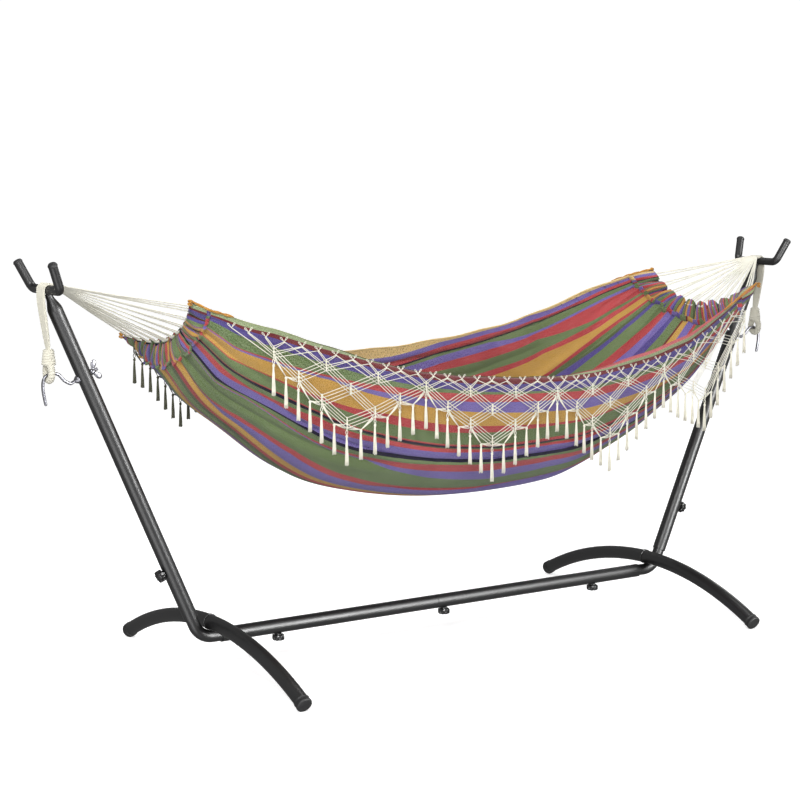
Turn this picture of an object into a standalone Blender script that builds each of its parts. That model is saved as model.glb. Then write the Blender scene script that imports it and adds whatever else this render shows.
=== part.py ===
"""Fabric hammock with scalloped knotted fringes, hung in a steel tube stand.

Metres, +Z up, +X from the left end to the right end, +Y from the near edge to the far edge. The
floor is z = 0, and the origin lies on it, under the middle of the stand.
"""

import math

import bmesh
import bpy
from mathutils import Matrix, Vector

# --- Stand: tubes ---------------------------------------------------------------------------------
TUBE_R = 0.021
TUBE_BORE = 0.0186
STUB_R = 0.018
WALL = 0.0016
GAP = 0.0003
BEAM_Z = 0.104
BEAM_END_X = 0.792
BEAM_JOINT_X = -0.034
SPLICE_HALF = 0.09
STUB_IN = 0.07

LEAN = math.radians(24.0)
ELBOW_R = 0.064
SLEEVE_STEP = 0.024

HEAD_X = 1.311
HEAD_Z = 1.117
NECK_LENGTH = 0.062
NECK_R = 0.0105
BAR_R = 0.0125
BAR_HALF = 0.0895
PRONG = Vector((0.030, 0.021, 0.068))
PRONG_BEND = 0.022

# --- Stand: feet ----------------------------------------------------------------------------------
RING_R = 0.0232
SLIP_R = 0.0217
FOOT_SPAN = 0.516
CAP_R = 0.0230
CAP_LENGTH = 0.021
CAP_DEPTH = 0.018
CAP_FLAT = 0.0018
CROOK = math.radians(20.0)

# --- Stand: knobs ---------------------------------------------------------------------------------
KNOB_R = 0.0185
KNOB_HEIGHT = 0.021
KNOB_EDGE = 0.0014
KNOB_LOBES = 8
FLUTE = 0.0012
STUD_R = 0.0032
WALL_STUD = 0.0028
SPLICE_STUD = 0.016
BEAM_KNOBS = {"left": -0.5986, "middle": 0.0, "right": 0.5986}
UPRIGHT_KNOB_Z = 0.312

# --- Hooks ----------------------------------------------------------------------------------------
HOOK_Z = 0.879
ROD_R = 0.0042
HOOK_HOLE_R = 0.0047
WING_HALF_WIDTH = 0.0068
WING_FLATNESS = 0.34
# The hook's bends beyond the upright: its (distance from the middle, height).
HOOK_BENDS = [(1.2640, 0.8700), (1.2830, 0.8885), (1.3090, 0.8892), (1.3240, 0.8760),
              (1.3265, 0.8480), (1.3190, 0.8050)]

# --- Ropes ----------------------------------------------------------------------------------------
STRINGS = 22
STRING_R = 0.0013
EYE_X = 1.3085
EYE_Z = 0.8960
EYE_HALF_Y = 0.0165
EYE_HALF_Z = 0.0215
EYE_R = 0.0080
WHIPPING = (0.9260, 0.9560)
BUNDLE_T = 0.0050
BUNDLE_WIDE = 0.0230
BUNDLE_SIDES = 12
# Half width and half thickness of the bundle at its three lowest points.
BUNDLE_NECK = [(0.0100, 0.0095), (0.0135, 0.0075), (0.0190, 0.0055)]
BUNDLE_SPREAD = [(EYE_X, WHIPPING[1] + GAP), (EYE_X + 0.008, 1.020)]
BUNDLE_WRAP = math.radians(128.0)
# Where the strings gather, inside the head bar and above it, and half their width there.
GATHER_IN = 0.0215
GATHER_UP = 0.0050
GATHER_HALF = 0.0200
GATHER_LONG = 0.008
STRING_CLEAR = 0.0065

# --- Hammock --------------------------------------------------------------------------------------
# Guide lines of the cloth, from its left seam to its right seam.
NEAR_EDGE = [(-0.930, -0.215, 1.052), (-0.680, -0.258, 0.979), (-0.344, -0.272, 0.889),
             (-0.095, -0.276, 0.848), (0.215, -0.278, 0.827), (0.404, -0.277, 0.830),
             (0.688, -0.274, 0.877), (0.817, -0.270, 0.924), (0.965, -0.262, 1.000)]
FAR_EDGE = [(-0.935, 0.190, 0.933), (-0.680, 0.241, 0.894), (-0.344, 0.262, 0.866),
            (-0.043, 0.272, 0.860), (0.241, 0.268, 0.894), (0.430, 0.256, 0.926),
            (0.568, 0.241, 0.964), (0.760, 0.185, 1.040), (0.860, 0.140, 1.072)]
BOTTOM = [(-0.940, 0.0, 0.899), (-0.860, 0.0, 0.790), (-0.748, 0.0, 0.697), (-0.585, 0.0, 0.571),
          (-0.430, -0.008, 0.503), (-0.172, -0.015, 0.455), (0.086, -0.017, 0.446),
          (0.344, -0.017, 0.471), (0.559, -0.020, 0.559), (0.688, -0.026, 0.645),
          (0.800, -0.043, 0.730), (0.880, -0.060, 0.820), (0.962, -0.070, 0.926)]
HEADER_LEFT = [(-0.989, -0.205, 1.084), (-0.950, -0.012, 0.968), (-1.000, 0.170, 0.968)]
HEADER_RIGHT = [(1.045, -0.269, 1.061), (0.967, -0.078, 0.990), (0.943, 0.114, 1.094)]
CLOTH_T = 0.004
STEPS_LONG = 20
STEPS_WIDE = 27
PLEATS = 9
PLEAT_DEPTH = 0.011
PLEAT_REACH = 0.22
HEADER_PUFF = 0.012
HEADER_END = 0.93
HEM_R = 0.0030
FRINGE_OUT = 0.009
FIRST_KNOT = 0.107
KNOT_STEP = 0.080
SCALLOP_SPANS = (3, 3, 3, 2)
NET_BAND = 0.0405
ROW_DROPS = (0.097, 0.146, 0.200)
NET_T = 0.0024
KNOT_T = 0.004
KNOT_DROP = 0.0085
TASSEL_LENGTH = 0.085
TASSEL_R = 0.0055


def collection(name, cutters=False):
    made = bpy.data.collections.new(name)
    bpy.context.scene.collection.children.link(made)
    made.hide_render = cutters
    return made


def material(name, colour, roughness, metallic=0.0):
    made = bpy.data.materials.get(name)
    if made:
        return made
    made = bpy.data.materials.new(name)
    made.use_nodes = True
    shader = made.node_tree.nodes["Principled BSDF"]
    shader.inputs["Base Color"].default_value = (*colour, 1)
    shader.inputs["Roughness"].default_value = roughness
    shader.inputs["Metallic"].default_value = metallic
    return made


def black_steel():
    return material("black_steel", (0.018, 0.018, 0.020), 0.42)


def black_plastic():
    return material("black_plastic", (0.015, 0.015, 0.016), 0.5)


def chrome():
    return material("chrome", (0.62, 0.62, 0.64), 0.22, 1.0)


def cotton_cord():
    return material("cotton_cord", (0.70, 0.64, 0.52), 0.9)


def striped_cotton():
    return material("striped_cotton", (0.30, 0.16, 0.12), 0.9)


def hem_cotton():
    return material("hem_cotton", (0.45, 0.07, 0.10), 0.9)


def tie_cotton():
    return material("tie_cotton", (0.62, 0.40, 0.12), 0.9)


class Shop:
    """The two collections, and the empty that the hammock hangs from."""

    def __init__(self):
        self.parts = collection("hammock_with_stand")
        self.cutters = collection("cutters", cutters=True)
        self.swing_axis = bpy.data.objects.new("swing_axis", None)
        self.swing_axis.location = (0, 0, HEAD_Z)
        self.parts.objects.link(self.swing_axis)

    def part(self, obj, look):
        self.parts.objects.link(obj)
        obj.data.materials.append(look)
        return obj

    def cutter(self, obj):
        self.cutters.objects.link(obj)
        obj.hide_render = True
        obj.display_type = "WIRE"
        return obj

    def hang(self, obj):
        """Parents a piece of the hammock to the axis that it swings about."""
        bpy.context.view_layer.update()
        obj.parent = self.swing_axis
        obj.matrix_parent_inverse = Matrix.Translation((0, 0, -HEAD_Z))


def frame_along(direction, side=Vector((0, 1, 0))):
    """A rotation whose Z runs along the direction and whose Y is as near the side as it can be."""
    z = Vector(direction).normalized()
    if abs(z.dot(side)) > 0.98 * side.length:
        side = Vector((0, 0, 1))
    x = side.cross(z).normalized()
    return Matrix((x, z.cross(x), z)).transposed()


def place(obj, base, direction):
    obj.matrix_world = Matrix.Translation(Vector(base)) @ frame_along(direction).to_4x4()
    return obj


def smooth(obj):
    obj.data.shade_smooth()
    obj.data.set_sharp_from_angle(angle=math.radians(35))
    return obj


def turned(name, profile, base, direction, steps=14):
    """A (radius, height) profile turned about the direction. It runs down the outer side, top to bottom."""
    bm = bmesh.new()
    verts = [bm.verts.new((radius, 0, height)) for radius, height in profile]
    for a, b in zip(verts, verts[1:]):
        bm.edges.new((a, b))
    if profile[0][0] > 0:
        bm.edges.new((verts[-1], verts[0]))
    mesh = bpy.data.meshes.new(name)
    bm.to_mesh(mesh)
    bm.free()
    obj = bpy.data.objects.new(name, mesh)
    screw = obj.modifiers.new("turn", "SCREW")
    screw.steps = steps
    screw.render_steps = steps
    screw.use_merge_vertices = True
    screw.merge_threshold = 0.00001
    screw.use_smooth_shade = True
    return place(obj, base, direction)


def wire(name, points, radius, resolution=4, radii=None, closed=False, caps=True):
    """A round rod through the points, as a bevelled curve. Radii are shares of the radius."""
    curve = bpy.data.curves.new(name, "CURVE")
    curve.dimensions = "3D"
    curve.bevel_depth = radius
    curve.bevel_resolution = resolution
    curve.use_fill_caps = caps and not closed
    curve.twist_mode = "MINIMUM"
    spline = curve.splines.new("POLY")
    spline.points.add(len(points) - 1)
    spline.use_cyclic_u = closed
    for i, p in enumerate(points):
        spline.points[i].co = (*p, 1)
        spline.points[i].radius = radii[i] if radii else 1.0
    return bpy.data.objects.new(name, curve)


def as_mesh(obj):
    """The curve as a mesh with its caps welded on, so that it can be cut or be a cutter."""
    bpy.context.scene.collection.objects.link(obj)
    bpy.context.view_layer.update()
    made = bpy.data.meshes.new_from_object(obj.evaluated_get(bpy.context.evaluated_depsgraph_get()))
    bm = bmesh.new()
    bm.from_mesh(made)
    bmesh.ops.remove_doubles(bm, verts=bm.verts[:], dist=0.00001)
    bmesh.ops.recalc_face_normals(bm, faces=bm.faces[:])
    bm.to_mesh(made)
    bm.free()
    name = obj.name
    matrix = obj.matrix_world.copy()
    bpy.data.objects.remove(obj, do_unlink=True)
    result = bpy.data.objects.new(name, made)
    result.matrix_world = matrix
    return result


def bent_tube(name, points, radius, resolution):
    """A hollow tube through the points, open at both ends."""
    obj = as_mesh(wire(name, points, radius, resolution, caps=False))
    modifier = obj.modifiers.new("wall", "SOLIDIFY")
    modifier.thickness = WALL
    modifier.offset = -1.0
    return obj


def cylinder(name, start, end, radius, sides=18):
    start, end = Vector(start), Vector(end)
    bm = bmesh.new()
    bmesh.ops.create_cone(bm, cap_ends=True, segments=sides, radius1=radius, radius2=radius,
                          depth=(end - start).length)
    mesh = bpy.data.meshes.new(name)
    bm.to_mesh(mesh)
    bm.free()
    return place(bpy.data.objects.new(name, mesh), (start + end) / 2, end - start)


def boolean(obj, other, operation="DIFFERENCE"):
    modifier = obj.modifiers.new(other.name, "BOOLEAN")
    modifier.operation = operation
    modifier.solver = "EXACT"
    modifier.object = other


def drill(shop, obj, start, end, radius, sides=10):
    name = f"drill_{obj.name}_{len(obj.modifiers)}"
    boolean(obj, shop.cutter(cylinder(name, start, end, radius, sides)))


def thicken(obj, thickness):
    modifier = obj.modifiers.new("thickness", "SOLIDIFY")
    modifier.thickness = thickness
    modifier.offset = 0.0
    modifier.use_even_offset = True
    return obj


def arc(start_angle, end_angle, steps):
    return [start_angle + (end_angle - start_angle) * i / steps for i in range(steps + 1)]


def rounded_corner(before, corner, after, radius, steps=6):
    """Points of the fillet at the corner between two straight runs."""
    a = (Vector(before) - Vector(corner)).normalized()
    b = (Vector(after) - Vector(corner)).normalized()
    half = a.angle(b) / 2
    reach = radius / math.tan(half)
    centre = Vector(corner) + (a + b).normalized() * radius / math.sin(half)
    start = (Vector(corner) + a * reach - centre).normalized()
    end = (Vector(corner) + b * reach - centre).normalized()
    return [centre + start.slerp(end, i / steps) * radius for i in range(steps + 1)]


def along_guide(points, t):
    """A smooth line through the points, with t from 0 at the first to 1 at the last by its length."""
    points = [Vector(p) for p in points]
    lengths = [0.0]
    for a, b in zip(points, points[1:]):
        lengths.append(lengths[-1] + (b - a).length)
    goal = min(max(t, 0.0), 1.0) * lengths[-1]
    i = min(sum(1 for x in lengths[1:] if x < goal), len(points) - 2)
    f = (goal - lengths[i]) / (lengths[i + 1] - lengths[i])
    p1, p2 = points[i], points[i + 1]
    p0 = points[i - 1] if i else 2 * p1 - p2
    p3 = points[i + 2] if i + 2 < len(points) else 2 * p2 - p1
    return 0.5 * (2 * p1 + (p2 - p0) * f + (2 * p0 - 5 * p1 + 4 * p2 - p3) * f ** 2
                  + (3 * p1 - p0 - 3 * p2 + p3) * f ** 3)


def sheet(name, rows):
    """An open surface through rows of points."""
    bm = bmesh.new()
    grid = [[bm.verts.new(p) for p in row] for row in rows]
    for a, b in zip(grid, grid[1:]):
        for j in range(len(a) - 1):
            bm.faces.new((a[j], a[j + 1], b[j + 1], b[j]))
    mesh = bpy.data.meshes.new(name)
    bm.to_mesh(mesh)
    bm.free()
    return smooth(bpy.data.objects.new(name, mesh))


# --- Stand ----------------------------------------------------------------------------------------

SIDES = ((-1, "left"), (1, "right"))
WAYS = ((-1, "front"), (1, "back"))


def upright_point(side, z):
    """The upright's axis at the height z."""
    return Vector((side * (HEAD_X - (HEAD_Z - z) * math.tan(LEAN)), 0, z))


def up_axis(side):
    return Vector((side * math.sin(LEAN), 0, math.cos(LEAN)))


def out_axis(side):
    """Square to the upright, pointing away from the hammock and down."""
    return Vector((side * math.cos(LEAN), 0, -math.sin(LEAN)))


def elbow_path(side):
    beam_in = Vector((side * (BEAM_END_X - STUB_IN), 0, BEAM_Z))
    corner = upright_point(side, BEAM_Z)
    bend = rounded_corner(beam_in, corner, corner + up_axis(side), ELBOW_R, 8)
    return [beam_in] + bend + [bend[-1] + up_axis(side) * (SLEEVE_STEP + STUB_IN)]


def foot_apex(side):
    """The foot rests in the crook of the elbow, with its ring just clear of it."""
    centre = elbow_path(side)[1] + Vector((0, 0, ELBOW_R))
    reach = ELBOW_R - STUB_R - RING_R - 2 * GAP
    return centre + Vector((side * math.sin(CROOK), 0, -math.cos(CROOK))) * reach


def foot_path(side, way):
    """One half of the foot: a circular arc from the ring to the cap, and the direction at its end."""
    apex = foot_apex(side)
    slope = CROOK
    for _ in range(20):
        drop = apex.z - (CAP_R * math.cos(slope) - CAP_FLAT)
        radius = (FOOT_SPAN ** 2 + drop ** 2) / (2 * drop)
        slope = math.asin(FOOT_SPAN / radius)
    points = []
    for a in arc(0.0, slope - CAP_LENGTH / radius, 9):
        points.append(apex + Vector((0, way * radius * math.sin(a), radius * (math.cos(a) - 1))))
    points[0:1] = [apex + Vector((0, way * GAP, 0)), apex + Vector((0, way * 0.006, 0))]
    return points, Vector((0, way * math.cos(slope), -math.sin(slope)))


def make_feet(shop, side, word):
    apex = foot_apex(side)
    floor = shop.cutter(turned(f"floor_{word}", [(0, 0), (1.2, 0), (1.2, -0.05), (0, -0.05)],
                               (apex.x, 0, 0), (0, 0, 1), 12))
    for way, name in WAYS:
        points, along = foot_path(side, way)
        end = points[-1] + along * CAP_DEPTH
        shop.part(bent_tube(f"foot_{name}_{word}", points + [end], TUBE_R, 4), black_steel())
        closed_at = CAP_DEPTH + GAP
        profile = [(0, CAP_LENGTH), (CAP_R - 0.0025, CAP_LENGTH), (CAP_R, CAP_LENGTH - 0.0016), (CAP_R, 0.0012),
                   (CAP_R - 0.0006, 0), (SLIP_R, 0), (SLIP_R, closed_at), (0, closed_at)]
        cap = shop.part(turned(f"foot_cap_{name}_{word}", profile, points[-1], along), black_plastic())
        boolean(cap, floor)
    half, edge = 0.004, 0.0006
    profile = [(SLIP_R, half), (RING_R - edge, half), (RING_R, half - edge), (RING_R, edge - half),
               (RING_R - edge, -half), (SLIP_R, -half)]
    shop.part(turned(f"foot_ring_{word}", profile, apex, (0, 1, 0)), black_steel())


def tube(name, start, end):
    start, end = Vector(start), Vector(end)
    long, edge = (end - start).length, 0.0005
    profile = [(TUBE_BORE, long), (TUBE_R - edge, long), (TUBE_R, long - edge), (TUBE_R, edge),
               (TUBE_R - edge, 0), (TUBE_BORE, 0)]
    return turned(name, profile, start, end - start, 18)


def make_beam(shop):
    joint = Vector((BEAM_JOINT_X, 0, BEAM_Z))
    half, seam = Vector((SPLICE_HALF, 0, 0)), Vector((GAP, 0, 0))
    left = shop.part(tube("beam_left", (-BEAM_END_X, 0, BEAM_Z), joint - seam), black_steel())
    right = shop.part(tube("beam_right", joint, (BEAM_END_X, 0, BEAM_Z)), black_steel())
    splice = shop.part(cylinder("beam_splice", joint - half, joint + half, STUB_R), black_steel())
    for word, holder in (("left", left), ("middle", right), ("right", right)):
        under = Vector((BEAM_KNOBS[word], 0, BEAM_Z - 0.03))
        drill(shop, holder, under, under + Vector((0, 0, 0.02)), STUD_R + GAP)
    under = Vector((BEAM_KNOBS["middle"], 0, BEAM_Z - 0.03))
    drill(shop, splice, under, under + Vector((0, 0, 0.03)), STUD_R + GAP)


def make_upright(shop, side, word):
    """A tube sleeved over the elbow, drawn down to a neck that meets the head bar."""
    foot = elbow_path(side)[-2] + up_axis(side) * SLEEVE_STEP
    head = Vector((side * HEAD_X, 0, HEAD_Z))
    long = (head - foot).length
    shoulder, edge = long - NECK_LENGTH, 0.0005
    bore_end = shoulder - 0.012
    profile = [(0, long), (NECK_R, long)]
    for i in range(5, 0, -1):
        ease = (i / 5) ** 2 * (3 - 2 * i / 5)
        profile.append((TUBE_R + (NECK_R - TUBE_R) * ease, shoulder + 0.042 * i / 5))
    profile += [(TUBE_R, shoulder), (TUBE_R, edge), (TUBE_R - edge, 0), (TUBE_BORE, 0)]
    profile += [(TUBE_BORE, bore_end - 0.01), (0, bore_end)]
    obj = shop.part(turned(f"upright_{word}", profile, foot, up_axis(side), 18), black_steel())
    across = Vector((0, 0.05, 0))
    boolean(obj, shop.cutter(cylinder(f"saddle_{word}", head - across, head + across, BAR_R + GAP)))
    bolt = upright_point(side, HOOK_Z)
    drill(shop, obj, bolt - out_axis(side) * 0.04, bolt + out_axis(side) * 0.04, HOOK_HOLE_R)
    knob = upright_point(side, UPRIGHT_KNOB_Z)
    drill(shop, obj, knob + out_axis(side) * 0.010, knob + out_axis(side) * 0.03, STUD_R + GAP)


def make_head_bar(shop, side, word):
    """The cross bar, bent up into a splayed prong at each end, with a plug in each prong."""
    corner = {way: Vector((side * HEAD_X, way * BAR_HALF, HEAD_Z)) for way, _ in WAYS}
    tip = {way: corner[way] + Vector((side * PRONG.x, way * PRONG.y, PRONG.z)) for way, _ in WAYS}
    front = rounded_corner(tip[-1], corner[-1], corner[1], PRONG_BEND)
    back = rounded_corner(corner[-1], corner[1], tip[1], PRONG_BEND)
    shop.part(wire(f"head_bar_{word}", [tip[-1]] + front + back + [tip[1]], BAR_R, 3), black_steel())
    for way, name in WAYS:
        profile = [(0, 0.0102), (BAR_R - 0.005, 0.0095), (BAR_R - 0.001, 0.0075), (BAR_R + 0.0009, 0.002),
                   (BAR_R + 0.0004, GAP), (0, GAP)]
        plug = turned(f"prong_plug_{name}_{word}", profile, tip[way], tip[way] - corner[way])
        shop.part(plug, black_plastic())


def make_knob(shop, name, base, direction, stud):
    """A fluted knob and the stud that it turns into the tube."""
    curve = bpy.data.curves.new(name, "CURVE")
    curve.dimensions = "2D"
    curve.fill_mode = "BOTH"
    curve.extrude = KNOB_HEIGHT / 2 - KNOB_EDGE
    curve.bevel_depth = KNOB_EDGE
    curve.bevel_resolution = 0
    curve.offset = -KNOB_EDGE
    spline = curve.splines.new("POLY")
    count = 3 * KNOB_LOBES
    spline.points.add(count - 1)
    spline.use_cyclic_u = True
    for i in range(count):
        a = 2 * math.pi * i / count
        r = KNOB_R - FLUTE * (1 - math.cos(KNOB_LOBES * a)) / 1.5
        spline.points[i].co = (r * math.cos(a), r * math.sin(a), 0, 1)
    head = as_mesh(bpy.data.objects.new(name, curve))
    head.data.transform(Matrix.Translation((0, 0, KNOB_HEIGHT / 2)))
    shop.part(place(head, base, direction), black_plastic())
    foot, along = Vector(base), Vector(direction).normalized()
    shank = cylinder(f"stud_{name}", foot - along * stud, foot + along * 0.004, STUD_R, 10)
    boolean(head, shop.cutter(shank), "UNION")
    return head


def make_knobs(shop):
    for word, x in BEAM_KNOBS.items():
        stud = SPLICE_STUD if word == "middle" else WALL_STUD
        make_knob(shop, f"beam_knob_{word}", (x, 0, BEAM_Z - TUBE_R - GAP), (0, 0, -1), stud)
    for side, word in SIDES:
        base = upright_point(side, UPRIGHT_KNOB_Z) + out_axis(side) * (TUBE_R + GAP)
        make_knob(shop, f"upright_knob_{word}", base, out_axis(side), WALL_STUD)


# --- Hooks and wing nuts --------------------------------------------------------------------------

def hook_path(side):
    """From the threaded end inside, out through the upright, then up, over and down."""
    centre, out = upright_point(side, HOOK_Z), out_axis(side)
    leave = centre + out * (TUBE_R + 0.016)
    bends = [leave, leave + out * 0.008] + [Vector((side * x, 0, z)) for x, z in HOOK_BENDS]
    return [centre - out * 0.043] + [along_guide(bends, i / 16) for i in range(17)]


def make_hook(shop, side, word):
    shop.part(wire(f"hook_{word}", hook_path(side), ROD_R, 2), chrome())
    centre, out = upright_point(side, HOOK_Z), out_axis(side)
    profile = [(HOOK_HOLE_R, 0.0056), (0.0102, 0.0056), (0.0110, 0.0048), (0.0110, -0.004),
               (HOOK_HOLE_R, -0.004)]
    washer = shop.part(turned(f"saddle_washer_{word}", profile, centre + out * TUBE_R, out), chrome())
    half = up_axis(side) * 0.03
    boolean(washer, shop.cutter(cylinder(f"seat_{word}", centre - half, centre + half, TUBE_R + 2 * GAP)))


def make_wing_nut(shop, side, word):
    inward, up = -out_axis(side), up_axis(side)
    base = upright_point(side, HOOK_Z) + inward * (TUBE_R + GAP)
    profile = [(0, 0.012), (0.0068, 0.012), (0.0085, 0.005), (0.0085, 0), (0, 0)]
    nut = shop.part(turned(f"wing_nut_{word}", profile, base, inward, 12), chrome())
    for way, name in WAYS:
        lean = (up * way * 0.82 + inward * 0.57).normalized()
        root = base + inward * 0.0072 + up * way * 0.0040
        points = [root + lean * reach for reach in (0.0, 0.009, 0.018, 0.0245)]
        wing = as_mesh(wire(f"wing_{name}_{word}", points, WING_HALF_WIDTH, 2, [0.6, 0.9, 1.0, 0.35]))
        wing.data.transform(Matrix.Diagonal((1, WING_FLATNESS, 1, 1)))
        boolean(nut, shop.cutter(wing), "UNION")
    drill(shop, nut, base - inward * 0.01, base + inward * 0.03, ROD_R + GAP)


# --- Rope bundle and whipped eye ------------------------------------------------------------------

def make_bundle(shop, side, word):
    """The cords lie side by side over the bar and draw together at the whipping."""
    radius = BAR_R + GAP + BUNDLE_T
    points = [Vector((side * x, 0, z)) for x, z in BUNDLE_SPREAD + [(HEAD_X + radius * 0.95, HEAD_Z - 0.037)]]
    for a in arc(0.0, BUNDLE_WRAP, 7):
        points.append(Vector((side * (HEAD_X + radius * math.cos(a)), 0, HEAD_Z + radius * math.sin(a))))
    bm = bmesh.new()
    rings = []
    for i, p in enumerate(points):
        turn = frame_along(points[min(i + 1, len(points) - 1)] - points[i - 1] if i else (0, 0, 1))
        wide, thick = BUNDLE_NECK[i] if i < len(BUNDLE_NECK) else (BUNDLE_WIDE, BUNDLE_T - GAP)
        ring = []
        for a in arc(0.0, 2 * math.pi, BUNDLE_SIDES)[:-1]:
            ring.append(bm.verts.new(p + turn @ Vector((thick * math.cos(a), wide * math.sin(a), 0))))
        rings.append(ring)
    for a, b in zip(rings, rings[1:]):
        for k in range(BUNDLE_SIDES):
            j = (k + 1) % BUNDLE_SIDES
            bm.faces.new((a[k], a[j], b[j], b[k]))
    bm.faces.new(rings[0])
    bm.faces.new(rings[-1])
    bmesh.ops.recalc_face_normals(bm, faces=bm.faces[:])
    mesh = bpy.data.meshes.new(f"rope_bundle_{word}")
    bm.to_mesh(mesh)
    bm.free()
    shop.part(smooth(bpy.data.objects.new(f"rope_bundle_{word}", mesh)), cotton_cord())


def make_eye(shop, side, word):
    loop = []
    for a in arc(0.0, 2 * math.pi, 14)[:-1]:
        loop.append((side * EYE_X, EYE_HALF_Y * math.sin(a), EYE_Z + EYE_HALF_Z * math.cos(a)))
    shop.part(wire(f"rope_eye_{word}", loop, EYE_R, 2, closed=True), cotton_cord())
    low, high = WHIPPING
    profile = [(0, high), (0.0100, high), (0.0118, high - 0.002), (0.0135, low + 0.004), (0.0125, low),
               (0, low)]
    shop.part(turned(f"whipping_{word}", profile, (side * EYE_X, 0, 0), (0, 0, 1), 16), cotton_cord())


# --- Hammock --------------------------------------------------------------------------------------

def pleat_share(t):
    """1 at both seams, falling to 0 a fifth of the way along the cloth."""
    return max(0.0, 1 - min(t, 1 - t) / PLEAT_REACH) ** 1.6


def cloth_point(t, v):
    """The cloth's middle surface: t runs from the left seam to the right, v from the near edge to the far."""
    near, far, low = along_guide(NEAR_EDGE, t), along_guide(FAR_EDGE, t), along_guide(BOTTOM, t)
    angle = (v - 0.5) * math.pi
    middle, ends = (near + far) / 2, pleat_share(t)
    lift = max(0.0, math.cos(angle))
    base = middle + (far - near) / 2 * math.sin(angle) + (low - middle) * lift ** (0.9 + 0.35 * ends)
    outward = Vector((0, math.sin(angle), -math.cos(angle)))
    return base + outward * PLEAT_DEPTH * ends * lift ** 0.5 * math.cos(2 * math.pi * PLEATS * v)


def make_bed(shop):
    rows = []
    for i in range(STEPS_LONG + 1):
        t = i / STEPS_LONG
        t = 0.4 * t + 0.3 * (1 - math.cos(math.pi * t))
        rows.append([cloth_point(t, j / STEPS_WIDE) for j in range(STEPS_WIDE + 1)])
    shop.hang(shop.part(thicken(sheet("bed", rows), CLOTH_T), striped_cotton()))


def header_line(points, v):
    """The outer line of a header as a quadratic curve through its three points."""
    a, b, c = [Vector(p) for p in points]
    return a * (1 - v) ** 2 + (2 * b - (a + c) / 2) * 2 * v * (1 - v) + c * v ** 2


def make_header(shop, side, word, guide):
    """The ruffled end of the cloth: one puff for each pleat, from the cords to the seam."""
    t_seam = 0.0 if side < 0 else 1.0
    rows = []
    for f in (0.0, 0.25, 0.6, HEADER_END):
        row = []
        for j in range(PLEATS * 4 + 1):
            v = j / (PLEATS * 4)
            outer, seam = header_line(guide, v), cloth_point(t_seam, v)
            angle = (v - 0.5) * math.pi
            outward = Vector((side * 0.5, 0.8 * math.sin(angle), -math.cos(angle))).normalized()
            puff = HEADER_PUFF * math.sin(math.pi * (0.12 + 0.80 * f)) * math.cos(2 * math.pi * PLEATS * v)
            swell = puff * math.sin(math.pi * v) ** 0.4 if 0 < v < 1 else 0.0
            row.append(outer.lerp(seam, f) + outward * swell)
        rows.append(row)
    shop.hang(shop.part(thicken(sheet(f"header_{word}", rows), CLOTH_T), striped_cotton()))


def make_strings(shop, side, word, guide):
    """Thin cords that fan out from the head bar to the header's puffs, joined where they gather."""
    gather_x, gather_z = HEAD_X - GATHER_IN, HEAD_Z + GATHER_UP
    bm = bmesh.new()
    count = 2 * STRINGS - 1

    def gather(j, reach):
        y = GATHER_HALF * (2 * j / count - 1)
        return bm.verts.new((side * (gather_x - reach), y, gather_z - 0.3 * reach))

    top = [gather(j, 0.0) for j in range(count + 1)]
    low = [gather(j, GATHER_LONG) for j in range(count + 1)]
    for j in range(count):
        bm.faces.new((top[j], top[j + 1], low[j + 1], low[j]))
    for n in range(STRINGS):
        v = (n + 0.5) / STRINGS
        outer = header_line(guide, v)
        back = (low[2 * n].co - outer).normalized()
        across = (header_line(guide, v + 0.01) - header_line(guide, v - 0.01)).normalized() * STRING_R
        end = outer + back * STRING_CLEAR
        a, b = bm.verts.new(end - across), bm.verts.new(end + across)
        bm.faces.new((low[2 * n], low[2 * n + 1], b, a))
    mesh = bpy.data.meshes.new(f"strings_{word}")
    bm.to_mesh(mesh)
    bm.free()
    obj = thicken(bpy.data.objects.new(f"strings_{word}", mesh), 2 * STRING_R)
    shop.hang(shop.part(obj, cotton_cord()))


def make_hem(shop, name, v):
    """The bound edge of the cloth, as a thin roll along it."""
    points = [cloth_point(i / 24, v) + Vector((0, 0, CLOTH_T / 2 + HEM_R + 0.0012)) for i in range(25)]
    shop.hang(shop.part(wire(name, points, HEM_R, 0), hem_cotton()))


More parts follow.
